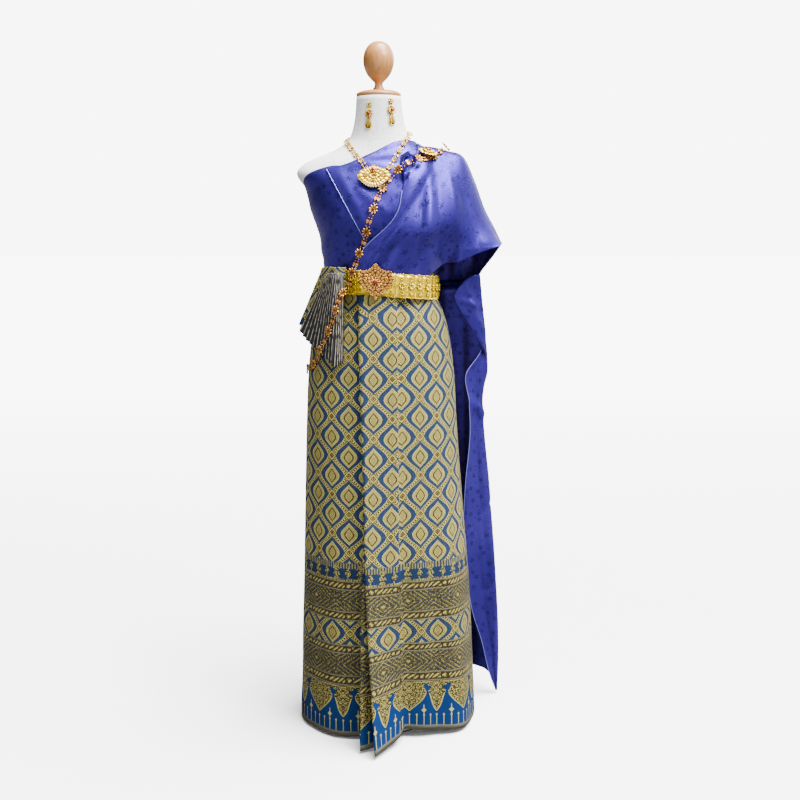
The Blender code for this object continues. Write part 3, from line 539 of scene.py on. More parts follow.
# Far away, the floor glows for the camera as the backdrop does, so that no horizon shows.
floor_place = floor_finish.node("SeparateXYZ", vector=floor_finish.place())
floor_far = Value(floor_finish.tree, floor_place.outputs["Y"]).soft(*FLOOR_FADE)
floor_finish.surface.inputs["Emission Color"].default_value = (1.0, 1.0, 0.985, 1.0)
plug(
    floor_finish.tree,
    floor_far * floor_seen.outputs["Is Camera Ray"] * FAR_GLOW,
    floor_finish.surface.inputs["Emission Strength"],
)
floor_mesh.materials.append(floor_finish.material)


# %% [markdown]
# The dress form is a shaped body without arms or a head, covered in white cotton printed with a
# faint grey lace, on a steel pole. Its neck is closed by a turned wooden cap with an egg finial.
# The body is lofted through measured sections. The wooden parts are lathe work, so a profile is
# turned about the pole's axis.

# %% Cover, wood and steel
TORSO_BOTTOM = 0.72
NECK_TOP = 1.381


def cover_finish():
    """White cotton with a printed grey lace: curling lines, and a fine plain weave."""
    made = Finish("form_cover", roughness=0.85, specular_ior_level=0.25)
    place = made.place()
    curls = made.noise(place, 55.0, 3.0, 0.55)
    lace = (curls - 0.5).ends().soft(0.0, 0.035)
    sprays = made.noise(place, 16.0, 2.0).soft(0.42, 0.62)
    ink = lace.mix(1.0, 0.0) * sprays.mix(0.25, 1.0)
    cotton = made.blend(made.noise(place, 8.0), (0.80, 0.80, 0.79), (0.88, 0.88, 0.87))
    made.colour(made.blend(ink * 0.55, cotton, (0.42, 0.43, 0.46)))
    weave = made.noise(place, 1400.0, 1.0)
    made.rough(weave.mix(0.78, 0.92))
    made.relief(weave, 0.0002, 0.6)
    return made.material


def wood_finish():
    """Pale beech: long fine grain up the turned shape, darker in streaks, under clear varnish."""
    made = Finish("wood", coat_weight=0.35, coat_roughness=0.18)
    stretch = made.node("Mapping", vector=made.place())
    stretch.inputs["Scale"].default_value = (1.0, 1.0, 0.09)
    grain = made.noise(stretch.outputs["Vector"], 260.0, 4.0, 0.6)
    bands = made.noise(stretch.outputs["Vector"], 45.0, 2.0)
    pale = made.blend(bands, (0.50, 0.225, 0.060), (0.40, 0.165, 0.038))
    made.colour(made.blend(grain.soft(0.45, 0.75) * 0.6, pale, (0.22, 0.075, 0.018)))
    made.rough(grain.mix(0.34, 0.5))
    made.relief(grain, 0.0003, 0.5)
    return made.material


def steel_finish():
    """Brushed steel with fine turning marks."""
    made = Finish("steel", base_color=(0.46, 0.46, 0.47, 1.0), metallic=0.95)
    rings = made.node("Mapping", vector=made.place())
    rings.inputs["Scale"].default_value = (0.05, 0.05, 1.0)
    marks = made.noise(rings.outputs["Vector"], 900.0, 2.0)
    made.rough(marks.mix(0.25, 0.42))
    made.relief(marks, 0.0001, 0.4)
    return made.material


cover = cover_finish()
wood = wood_finish()
steel = steel_finish()

# %% Body of the form
Body = namedtuple("Body", "z centre half_width front back power")
FORM_SECTIONS = [
    Body(0.720, 0.004, 0.146, 0.097, 0.111, 2.2),
    Body(0.800, 0.004, 0.147, 0.100, 0.114, 2.2),
    Body(0.880, 0.004, 0.138, 0.098, 0.108, 2.2),
    Body(0.940, 0.004, 0.123, 0.091, 0.095, 2.2),
    Body(0.985, 0.004, 0.1155, 0.086, 0.084, 2.2),
    Body(1.020, 0.003, 0.1155, 0.087, 0.082, 2.2),
    Body(1.050, 0.002, 0.1190, 0.092, 0.083, 2.2),
    Body(1.082, 0.001, 0.1225, 0.103, 0.086, 2.2),
    Body(1.103, 0.001, 0.1280, 0.111, 0.088, 2.2),
    Body(1.123, 0.001, 0.1350, 0.116, 0.090, 2.2),
    Body(1.148, 0.001, 0.1435, 0.117, 0.092, 2.2),
    Body(1.178, 0.002, 0.1510, 0.109, 0.092, 2.2),
    Body(1.192, 0.003, 0.1565, 0.103, 0.091, 2.2),
    Body(1.207, 0.003, 0.1680, 0.096, 0.088, 2.2),
    Body(1.220, 0.003, 0.1750, 0.089, 0.085, 2.2),
    Body(1.232, 0.003, 0.1710, 0.083, 0.081, 2.1),
    Body(1.249, 0.003, 0.1480, 0.074, 0.074, 2.1),
    Body(1.263, 0.005, 0.1130, 0.067, 0.068, 2.0),
    Body(1.279, 0.005, 0.0820, 0.060, 0.062, 2.0),
    Body(1.296, 0.005, 0.0640, 0.055, 0.057, 2.0),
    Body(1.334, 0.004, 0.0520, 0.050, 0.052, 2.0),
    Body(1.381, 0.003, 0.0470, 0.047, 0.047, 2.0),
]


def form_point(angle, z):
    values = [track(FORM_SECTIONS, name, z) for name in Body._fields[1:]]
    centre, half_width, front, back, power = values
    x, y = section_point(half_width, front, back, power, centre, angle)
    return Vector((x, y, z))
ROUND = 96
FORM_LEVELS = 84


def tube_mesh(name, rings):
    """A closed body through rings of points, with flat ends."""
    mesh = bpy.data.meshes.new(name)
    count = len(rings[0])
    points = [tuple(point) for ring in rings for point in ring]
    faces = []
    for row in range(len(rings) - 1):
        for k in range(count):
            after = (k + 1) % count
            low, high = row * count, (row + 1) * count
            faces.append((low + k, low + after, high + after, high + k))
    faces.append(tuple(range(count))[::-1])
    faces.append(tuple(range(len(points) - count, len(points))))
    mesh.from_pydata(points, [], faces)
    mesh.shade_smooth()
    return mesh


around_angles = [2 * math.pi * n / ROUND for n in range(ROUND)]
torso_rings = [
    [form_point(angle, z) for angle in around_angles]
    for z in spread(TORSO_BOTTOM, NECK_TOP, FORM_LEVELS)
]
torso = add_piece("dress_form", tube_mesh("dress_form", torso_rings), cover, "form_torso")
print("form", ROUND, "round,", FORM_LEVELS, "levels")

# %% Turned wood, pole and base
LATHE_STEPS = 64
CAP_RADIUS = 0.0470
CAP_HEIGHT = 0.013
FINIAL_HEIGHT = 0.1004
POLE_RADIUS = 0.014
BASE_RADIUS = 0.115
BASE_HEIGHT = 0.009


def lathe(name, profile, material, replaced):
    """A profile of (radius, height) from the top to the bottom, turned about the pole's axis."""
    rings = [
        [(AXIS_X + radius * math.sin(a), -radius * math.cos(a), z)
         for a in (2 * math.pi * n / LATHE_STEPS for n in range(LATHE_STEPS))]
        for radius, z in reversed(profile)
    ]
    piece = add_piece(name, tube_mesh(name, rings), material, replaced)
    return piece


def smooth_profile(profile, count=40):
    points = [(radius, 0.0, z) for radius, z in profile]
    return [(p.x, p.z) for p in (through(points, t) for t in spread(0.0, 1.0, count))]


cap_low = NECK_TOP + SEAM_GAP
cap_high = cap_low + CAP_HEIGHT
lathe("neck_cap", [
    (0.016, cap_high), (0.034, cap_high - 0.0012), (0.0400, cap_high - 0.0030),
    (0.0448, cap_high - 0.0052), (0.0464, cap_high - 0.0065), (CAP_RADIUS, cap_high - 0.0080),
    (CAP_RADIUS, cap_low + 0.0022), (0.0464, cap_low + 0.0008), (0.0450, cap_low),
], wood, "form_neck_cap")
foot = cap_high + SEAM_GAP
egg = foot + FINIAL_HEIGHT
lathe("finial", smooth_profile([
    (0.0008, egg), (0.012, egg - 0.0025), (0.0225, egg - 0.010), (0.0295, egg - 0.022),
    (0.0325, egg - 0.036), (0.0310, egg - 0.052), (0.0245, egg - 0.068), (0.0150, egg - 0.079),
    (0.0092, egg - 0.085), (0.0088, egg - 0.092), (0.0120, foot + 0.004), (0.0125, foot),
]), wood, "form_finial")
pole_high = TORSO_BOTTOM - SEAM_GAP
lathe("pole", [
    (POLE_RADIUS - 0.001, pole_high), (POLE_RADIUS, pole_high - 0.001),
    (POLE_RADIUS, BASE_HEIGHT + 0.002), (POLE_RADIUS - 0.001, BASE_HEIGHT + SEAM_GAP),
], steel, "form_pole")
lathe("base_plate", [
    (BASE_RADIUS - 0.004, BASE_HEIGHT), (BASE_RADIUS - 0.0012, BASE_HEIGHT - 0.0012),
    (BASE_RADIUS, BASE_HEIGHT - 0.004), (BASE_RADIUS, 0.001), (BASE_RADIUS - 0.001, 0.0),
], steel, "form_base")
print("lathe steps", LATHE_STEPS, "finial top", round(egg, 4))


# %% [markdown]
# The skirt is one length of brocade worn as a tube. Its spare width is laid in front as two flat
# pleats, folded over each other from the wearer's right. The ring of the waist is drawn in plan as
# one folded line at every height, and the rings are joined from hem to waist. The back seam is
# where the line starts and ends.

# %% The skirt's plan and its threads
Skirt = namedtuple(
    "Skirt",
    "z left right front front_right back power power_right"
    " panel_x panel_y edge_x edge_y under_x under_y",
)
SKIRT_LEVELS = [
    Skirt(0.007, -0.175, 0.219, 0.143, 0.128, 0.140, 2.4, 3.4,
          -0.005, -0.235, 0.048, -0.167, -0.037, -0.204),
    Skirt(0.050, -0.174, 0.217, 0.142, 0.128, 0.140, 2.4, 3.2,
          -0.008, -0.225, 0.048, -0.163, -0.037, -0.198),
    Skirt(0.110, -0.171, 0.214, 0.140, 0.127, 0.139, 2.4, 3.0,
          -0.012, -0.212, 0.047, -0.159, -0.037, -0.188),
    Skirt(0.210, -0.169, 0.209, 0.137, 0.126, 0.137, 2.4, 2.8,
          -0.018, -0.192, 0.047, -0.154, -0.036, -0.172),
    Skirt(0.330, -0.165, 0.202, 0.133, 0.125, 0.134, 2.3, 2.6,
          -0.024, -0.173, 0.046, -0.149, -0.033, -0.158),
    Skirt(0.450, -0.162, 0.191, 0.129, 0.124, 0.132, 2.3, 2.4,
          -0.027, -0.160, 0.045, -0.144, -0.030, -0.150),
    Skirt(0.580, -0.159, 0.180, 0.124, 0.121, 0.130, 2.3, 2.3,
          -0.030, -0.149, 0.045, -0.139, -0.028, -0.140),
    Skirt(0.690, -0.156, 0.172, 0.119, 0.118, 0.128, 2.3, 2.3,
          -0.033, -0.139, 0.044, -0.134, -0.030, -0.1298),
    Skirt(0.790, -0.152, 0.166, 0.113, 0.113, 0.124, 2.2, 2.2,
          -0.036, -0.130, 0.043, -0.128, -0.033, -0.1208),
    Skirt(0.870, -0.144, 0.156, 0.107, 0.107, 0.116, 2.2, 2.2,
          -0.038, -0.1225, 0.042, -0.122, -0.035, -0.1133),
    Skirt(0.925, -0.131, 0.143, 0.099, 0.099, 0.104, 2.2, 2.2,
          -0.038, -0.1140, 0.042, -0.1140, -0.036, -0.1048),
    Skirt(0.955, -0.1190, 0.1290, 0.0925, 0.0925, 0.0940, 2.2, 2.2,
          -0.037, -0.1068, 0.041, -0.1068, -0.035, -0.0976),
    Skirt(0.985, -0.1146, 0.1226, 0.0892, 0.0892, 0.0870, 2.2, 2.2,
          -0.037, -0.1032, 0.040, -0.1032, -0.035, -0.0940),
    Skirt(1.014, -0.1164, 0.1230, 0.0904, 0.0904, 0.0862, 2.2, 2.2,
          -0.037, -0.1038, 0.040, -0.1038, -0.035, -0.0946),
]
Rise = namedtuple("Rise", "x z")
HEM_RISES = [
    Rise(-0.02, 0.0), Rise(0.047, 0.013), Rise(0.060, 0.015),
    Rise(0.117, 0.011), Rise(0.168, 0.005), Rise(0.205, 0.0),
]
PLEAT_PITCH = 0.0023
FOLD_RADIUS = 0.0009
PANEL_TUCK = 0.012
VALLEY_WIDTH = 0.010
HIDDEN_STEP = 0.006
LEFT_COLUMNS = 96
RIGHT_COLUMNS = 74
LAYER_POINTS = 9
SKIRT_ROWS = 112
REPEAT_WIDE = 0.0790
REPEAT_HIGH = 0.0838
LEFT_ANCHOR_X = -0.060
LEFT_ANCHOR_U = -4 * REPEAT_WIDE
PanelEdge = namedtuple("PanelEdge", "z u")
PANEL_EDGES = [
    PanelEdge(0.009, 0.0745), PanelEdge(0.235, 0.0675), PanelEdge(0.420, 0.0585),
    PanelEdge(0.620, 0.0530), PanelEdge(0.900, 0.0501), PanelEdge(1.014, 0.0501),
]
RIGHT_START_U = REPEAT_WIDE * 1.5 + 0.0020


def body_angle(x, centre, half_width, power):
    """The angle at which a section's front has this x."""
    share = (x - centre) / half_width
    return math.copysign(math.asin(abs(share) ** (power / 2)), share)


def fold(x, y_from, y_to, side):
    """The turn at the end of a pleat's layer; side is +1 where it opens towards +X."""
    return [
        (x + side * FOLD_RADIUS, y_from),
        (x, (y_from + y_to) / 2),
        (x + side * FOLD_RADIUS, y_to),
    ]


def skirt_ring(level):
    """The skirt in plan at one height: the body's curve, and the pleats as one folded cloth."""
    centre = (level.left + level.right) / 2
    half_width = (level.right - level.left) / 2

    def body(angle, front=level.front, power=level.power):
        return section_point(half_width, front, level.back, power, centre, angle)

    def right_body(angle):
        share = min(max((angle - right_angle) / (math.pi / 2 - right_angle), 0.0), 1.0)
        power = level.power_right + (level.power - level.power_right) * share
        return body(angle, level.front_right, power)

    left_end = level.edge_x - HIDDEN_STEP
    right_start = level.edge_x + VALLEY_WIDTH
    left_angle = body_angle(left_end, centre, half_width, level.power)
    right_angle = body_angle(right_start, centre, half_width, level.power_right)
    pitch = PLEAT_PITCH
    tuck_x = level.panel_x + PANEL_TUCK
    slant = (level.edge_y - level.panel_y) / (level.edge_x - level.panel_x)
    tuck_y = level.panel_y + slant * PANEL_TUCK
    inner_x = left_end + FOLD_RADIUS
    inner_y = (body(left_angle)[1] + level.edge_y + 5 * pitch) / 2
    turns = [
        [(inner_x, inner_y), (left_end, level.edge_y + 5 * pitch)],
        fold(level.under_x, level.under_y + pitch, level.under_y, 1),
        fold(
            level.edge_x - HIDDEN_STEP / 2, level.edge_y + 4 * pitch, level.edge_y + 3 * pitch, -1
        ),
        fold(level.panel_x, level.panel_y + 3 * pitch, level.panel_y, 1),
        fold(level.edge_x, level.edge_y, level.edge_y + pitch, -1),
        fold(tuck_x, tuck_y + pitch, tuck_y + 2 * pitch, 1),
    ]
    last = [(level.edge_x + 0.001, level.edge_y + 2 * pitch)]
    ring = [body(angle) for angle in spread(-math.pi, left_angle, LEFT_COLUMNS)]
    ring.extend(turns[0])
    for turn in [*turns[1:], last]:
        start, end = Vector(ring[-1]), Vector(turn[0])
        for n in range(1, LAYER_POINTS + 1):
            ring.append(tuple(start.lerp(end, n / (LAYER_POINTS + 1))))
        ring.extend(turn)
    ring.extend(right_body(angle) for angle in spread(right_angle, math.pi, RIGHT_COLUMNS)[:-1])
    return ring


def level_at(z):
    return Skirt(z, *(track(SKIRT_LEVELS, name, z) for name in Skirt._fields[1:]))


def skirt_threads(ring, level):
    """How far each point of a ring is along the cloth. The columns of the pattern stay upright on
    the left, on the top pleat and on the right; the folds between take up what is left."""
    points = [Vector(point) for point in ring]
    run = lengths_along([*points, points[0]])
    left = LEFT_COLUMNS - 1
    anchor = next(
        k
        for k in range(left)
        if ring[k][0] <= LEFT_ANCHOR_X < ring[k + 1][0] and ring[k][1] < 0
    )
    share = (LEFT_ANCHOR_X - ring[anchor][0]) / (ring[anchor + 1][0] - ring[anchor][0])
    left_zero = run[anchor] + share * (run[anchor + 1] - run[anchor])
    right = len(ring) - (RIGHT_COLUMNS - 1)
    edge = min(
        (k for k in range(left, right) if abs(ring[k][0] - level.edge_x) < 1e-6),
        key=lambda k: ring[k][1],
    )
    panel = min(range(left, edge), key=lambda k: ring[k][1])
    known = {}
    for k in range(left + 1):
        known[k] = LEFT_ANCHOR_U + run[k] - left_zero
    for k in range(panel, edge + 1):
        known[k] = track(PANEL_EDGES, "u", level.z) + run[k] - run[edge]
    for k in range(right, len(run)):
        known[k] = RIGHT_START_U + run[k] - run[right]
    found = []
    marks = sorted(known)
    for k in range(len(run)):
        if k in known:
            found.append(known[k])
            continue
        low = max(n for n in marks if n < k)
        high = min(n for n in marks if n > k)
        part = (run[k] - run[low]) / (run[high] - run[low])
        found.append(known[low] + (known[high] - known[low]) * part)
    return found


# %% [markdown]
# The brocade hangs nearly flat, with slow folds that grow from the belt and fade, and a hem that
# waves a little. These are small moves of each point out of the plain shape: less than the pleats,
# and gone where the waist is held by the belt.

# %% The skirt's grid
Crease = namedtuple("Crease", "angle low high width depth lean")
SKIRT_CREASES = [
    Crease(28, 0.02, 0.70, 6.0, 0.0035, -4.0), Crease(44, 0.00, 0.93, 7.0, -0.0040, -7.0),
    Crease(58, 0.05, 0.88, 8.0, 0.0040, -9.0), Crease(76, 0.00, 0.60, 8.0, -0.0035, -4.0),
    Crease(-24, 0.00, 0.55, 7.0, -0.0030, 3.0), Crease(-42, 0.00, 0.85, 8.0, 0.0030, 5.0),
    Crease(-63, 0.00, 0.70, 8.0, -0.0034, 4.0), Crease(-85, 0.05, 0.90, 9.0, 0.0034, 5.0),
    Crease(102, 0.00, 0.90, 9.0, 0.0040, -5.0), Crease(124, 0.00, 0.75, 9.0, -0.0045, 4.0),
    Crease(146, 0.00, 0.95, 9.0, 0.0045, 3.0), Crease(168, 0.00, 0.80, 9.0, -0.0040, -3.0),
    Crease(-112, 0.00, 0.80, 9.0, 0.0040, 4.0), Crease(-136, 0.00, 0.93, 9.0, -0.0045, -4.0),
    Crease(-158, 0.00, 0.70, 9.0, 0.0040, 3.0),
]


def bell(distance, width):
    return math.exp(-((distance / width) ** 2))


def crease_depth(x, y, z):
    """How far the soft folds move the skirt out at a place."""
    angle = math.degrees(math.atan2(x - 0.02, -y))
    moved = 0.0
    for crease in SKIRT_CREASES:
        share = min(max((z - crease.low) / (crease.high - crease.low), 0.0), 1.0)
        away = (angle - crease.angle - crease.lean * share + 180) % 360 - 180
        moved += crease.depth * bell(away, crease.width) * math.cos(share * math.pi / 2)
    return moved


skirt_grid, skirt_uv = [], []
for z in spread(SKIRT_LEVELS[0].z, SKIRT_LEVELS[-1].z, SKIRT_ROWS):
    level = level_at(z)
    ring = skirt_ring(level)
    us = skirt_threads(ring, level)
    pleats = range(LEFT_COLUMNS - 2, len(ring) - RIGHT_COLUMNS + 2)
    row = []
    for k, (x, y) in enumerate(ring):
        rise = track(HEM_RISES, "z", x) * max(1.0 - z / 0.3, 0.0)
        apart = 0 if k in pleats else min(abs(k - pleats[0]), abs(k - pleats[-1]))
        out = Vector((x - 0.02, y, 0.0)).normalized()
        moved = crease_depth(x, y, z) * min(apart / 8, 1.0)
        row.append(Vector((x, y, z + rise)) + out * moved)
    skirt_grid.append(row)
    skirt_uv.append([(u, z - SKIRT_LEVELS[0].z) for u in us])
print("skirt grid", len(skirt_grid), "x", len(skirt_grid[0]))


# %% [markdown]
# The brocade is woven with gold over blue. Its field is a half-drop lattice: pointed ogees in blue
# with a leaf in each, and gold bands between them with a small diamond at each crossing. Towards
# the hem come rows of ropes, diamonds and ogees, then long gold points over a blue ground with
# pale candles. On a real loom this is one repeat, woven again and again. Here it is one set of
# formulas on the threads' u and v, so no picture of it is needed.

# %% The brocade's rows and colours
Row = namedtuple("Row", "low high")
HEM_TAPE = Row(0.0, 0.0115)
POINTS = Row(0.0440, 0.1150)
POINT_PITCH = REPEAT_WIDE * 4 / 5
LEFT_POINT = REPEAT_WIDE * 0.60
PANEL_POINT = REPEAT_WIDE * 0.33
RIGHT_POINT = REPEAT_WIDE * 0.86
CANDLE_PITCH = POINT_PITCH / 4
CANDLE_TOP = 0.0355
ROPES = [Row(0.1195, 0.1360), Row(0.1910, 0.2050), Row(0.2650, 0.2800), Row(0.3325, 0.3475)]
ROPE_PITCH = 0.0118
DIAMOND_BANDS = [Row(0.1400, 0.1870), Row(0.2840, 0.3285)]
DIAMOND_PITCH = REPEAT_WIDE * 1.5
LEFT_DIAMOND = REPEAT_WIDE * 0.86
PANEL_DIAMOND = REPEAT_WIDE * 0.34
RIGHT_DIAMOND = REPEAT_WIDE * 0.14
OGEE_BAND = Row(0.2085, 0.2615)
FRINGE = Row(0.3510, 0.3905)
TREE_PITCH = REPEAT_WIDE * 2 / 3
TREE_U = REPEAT_WIDE * 0.30
FIRST_MOTIF = 0.4132
LINE_HALF = 0.0011

GOLD = (0.210, 0.168, 0.034)
GOLD_SHADE = (0.034, 0.029, 0.012)
CREAM = (0.52, 0.45, 0.13)
BROWN = (0.022, 0.014, 0.008)
BLUE = (0.001, 0.020, 0.072)
HEM_BLUE = (0.001, 0.020, 0.085)
NIGHT = (0.004, 0.011, 0.024)
GREY_LINE = (0.130, 0.128, 0.095)
TAPE = (0.105, 0.100, 0.070)


def in_row(v, row):
    return v.over(row.low) * v.under(row.high)


def ogee(x, y, half_wide, half_high, middle=0.0):
    """1 inside a pointed oval of the lattice, whose sides bow out and then in."""
    t = ((y - middle).ends() / half_high).math("MINIMUM", 1.0)
    bow = (t * (math.pi / 2)).math("COSINE") * 0.62 + ((t * math.pi).math("COSINE") + 1.0) * 0.19
    return x.under(bow * half_wide)


def either(*masks):
    found = masks[0]
    for mask in masks[1:]:
        found = found.math("MAXIMUM", mask)
    return found


def rows_of(u, v, pitch, least):
    """A chequer of round dots."""
    turn = 2 * math.pi / pitch
    return ((u * turn).wave() * (v * turn).wave()).over(least)


def field_masks(made, u, v):
    """Blue, brown and pale threads of the lattice, each 0 or 1."""
    x1 = u.repeat(REPEAT_WIDE).ends() * (2 / REPEAT_WIDE)
    y1 = (v - (FIRST_MOTIF + REPEAT_HIGH / 2)).repeat(REPEAT_HIGH) * (2 / REPEAT_HIGH)
    own = (x1 + y1.ends()).under(1.0)
    x = own.mix(1.0 - x1, x1)
    y = own.mix((y1.ends() - 1.0) * y1.math("SIGN"), y1)
    outer = ogee(x, y, 0.745, 0.79)
    tear = x * (y * 0.30 + 1.0)
    leaf = ogee(tear, y, 0.46, 0.59, -0.01)
    inner = ogee(tear, y, 0.39, 0.52, -0.03)
    vein = ogee(tear, y, 0.265, 0.385, -0.05) - ogee(tear, y, 0.195, 0.305, -0.05)
    heart = ogee(tear, y, 0.105, 0.18, -0.05) - ogee(tear, y, 0.050, 0.10, -0.05)
    tip = (x + (y - 0.43).ends()).under(0.055)
    lattice = x + y.ends()
    step = x - y.ends()
    crossing = 1.0 - step.ends()
    outside = 1.0 - outer
    diamond = outside * crossing.under(0.31)
    outer_ring = crossing.under(0.30) * crossing.over(0.245)
    ring = outer_ring + crossing.under(0.165) * crossing.over(0.115)
    centre = crossing.under(0.045)
    band = outside * crossing.over(0.31)
    beat = (step * (2 * math.pi * 5)).math("COSINE")
    middle_dots = band * lattice.over(0.93) * beat.over(0.0)
    side_dots = band * lattice.under(0.90) * lattice.over(0.82) * beat.under(-0.30)
    edge = outside * ogee(x, y, 0.785, 0.81) * (1.0 - diamond)
    fine = rows_of(u, v, 0.0046, 0.35)
    leaf_dots = either((leaf - inner) * fine, inner * fine * 0.7)
    blue = outer - leaf
    brown = either(vein, heart, tip, diamond * either(ring, centre), middle_dots, side_dots * 0.6)
    plain = 1.0 - fine
    light_dots = band * beat.under(-0.2) * lattice.over(0.93)
    pale = either((leaf - inner) * plain, (inner - vein) * plain * 0.55, edge, light_dots)
    pale = either(pale, diamond * crossing.under(0.235) * crossing.over(0.175))
    return blue, either(brown, leaf_dots * 0.75), pale


def rope_masks(u, v, row, sway):
    """Gold leaves that lie slantwise one after another on black, with a rosette at times."""
    middle, half = (row.low + row.high) / 2, (row.high - row.low) / 2
    up = (v - middle) * (1 / half)
    slant = (u - (v - middle) * 1.15 + sway).repeat(ROPE_PITCH).ends() * (2 / ROPE_PITCH)
    bulge = 1.0 - up * up
    leaf = slant.under(bulge * 0.84) * up.ends().under(0.92)
    bright = slant.under(bulge * 0.40) * up.ends().under(0.6)
    du = u.repeat(ROPE_PITCH * 4.5)
    far = (du * du + (v - middle) * (v - middle)).math("SQRT")
    rosette = far.under(half * 0.62)
    gap = far.under(half * 1.05) - rosette
    gold = leaf * (1.0 - gap) + rosette * (1.0 - leaf)
    return 1.0 - gold, either(bright * (1.0 - gap), far.under(half * 0.25))


def diamond_masks(u, v, row, speck):
    """Large diamonds outlined several times, on a ground of fine specks."""
    middle, half = (row.low + row.high) / 2, (row.high - row.low) / 2
    x = u.repeat(DIAMOND_PITCH).ends() * (2 / DIAMOND_PITCH)
    y = (v - middle).ends() * (1 / half)
    ring = (x * 1.9 + y).ends()
    line = (ring * 2.4).math("FRACT")
    core = ring.under(0.30)
    dark = either(line.under(0.20) * speck.over(0.34), speck.over(0.57))
    blue = line.over(0.62) * speck.under(0.50) * (1.0 - core)
    pale = either(line.over(0.20) * line.under(0.40) * speck.under(0.50), core * ring.under(0.16))
    return blue, dark, pale


# %% Scales of the brocade's grain, in features a metre
LACE_SCALE = 330.0
SPECKLE_SCALE = 400.0
SWAY_SCALE = 30.0
SWAY = 0.012
GRAIN_SCALE = 300.0
THREAD_SCALE = 1500.0
WEAVE_SCALE = 620.0


# %% Hem points and fringe
def point_masks(v, point, from_point, mirrored):
    """Gold lace that hangs down between blue peaks, each with a hooked crest."""
    pair = from_point.repeat(POINT_PITCH * 2).ends()
    up = (v - POINTS.low) * (1 / (POINTS.high - POINTS.low))
    lean = up.soft(0.0, 0.55) * 0.30 - up.over(0.84) * 0.12
    leaning = (pair * (2 / POINT_PITCH) - 1.0 + lean).ends()
    taper = (1.0 - up * 1.15).math("MAXIMUM", 0.0).math("POWER", 1.9)
    crest = 1.0 - ((up - 0.80) * 8.0) * ((up - 0.80) * 8.0)
    peak = leaning.under(either(taper * 0.97, crest * 0.24, up.under(0.88) * 0.085))
    points = in_row(v, POINTS)
    ground = either(points * peak, v.under(POINTS.low))
    rim = points * (1.0 - peak) * leaning.under(taper * 0.97 + 0.085) * up.under(0.60)
    lace = points * (1.0 - peak) * (1.0 - rim)
    lace_dark = lace * mirrored.over(0.52)
    lace_pale = either(rim, lace * mirrored.under(0.44))

    # Candles stand on the hem, each with a drop, and a four-pointed flower under each peak.
    candle = from_point.repeat(CANDLE_PITCH).ends()
    stick = candle.under(0.0008) * v.under(CANDLE_TOP)
    drop = (candle + (v - CANDLE_TOP).ends() * 0.7).under(0.0024)
    far = POINT_PITCH / 2 - point
    flower = (far + (v - POINTS.low - 0.003).ends()).under(0.0058)
    stem = far.under(0.0009) * v.under(POINTS.low + 0.016)
    lights = either(stick, drop, flower, stem) * either(v.under(POINTS.low), points * peak)
    return ground, lace_dark, lace_pale, lights


def fringe_masks(u, v, mirrored):
    """Small trees and buds by turns on blue, under a comb of fine teeth."""
    fringe = in_row(v, FRINGE)
    rise = (v - FRINGE.low) * (1 / (FRINGE.high - FRINGE.low))
    tree = (u - TREE_U).repeat(TREE_PITCH).ends() * (2 / TREE_PITCH)
    bud = 1.0 - tree
    tiers = (rise * 3.2).math("FRACT")
    trees = tree.under((1.0 - tiers) * 0.26 + 0.10) * rise.under(0.86)
    stems = bud.under(0.05) * rise.under(0.74)
    buds = either((bud + (rise - 0.42).ends() * 0.9).under(0.26), stems)
    foot = rise.under(0.10)
    teeth = u.repeat(REPEAT_WIDE / 13).ends().under(0.0015) * rise.over(0.68)
    plants = either(trees, buds, foot) * fringe
    blue_fringe = fringe * (1.0 - either(plants, teeth))
    plant_dark = plants * mirrored.over(0.53)
    plant_pale = fringe * either(teeth, plants * mirrored.under(0.47)) * teeth.mix(1.0, 0.45)
    return blue_fringe, plant_dark, plant_pale


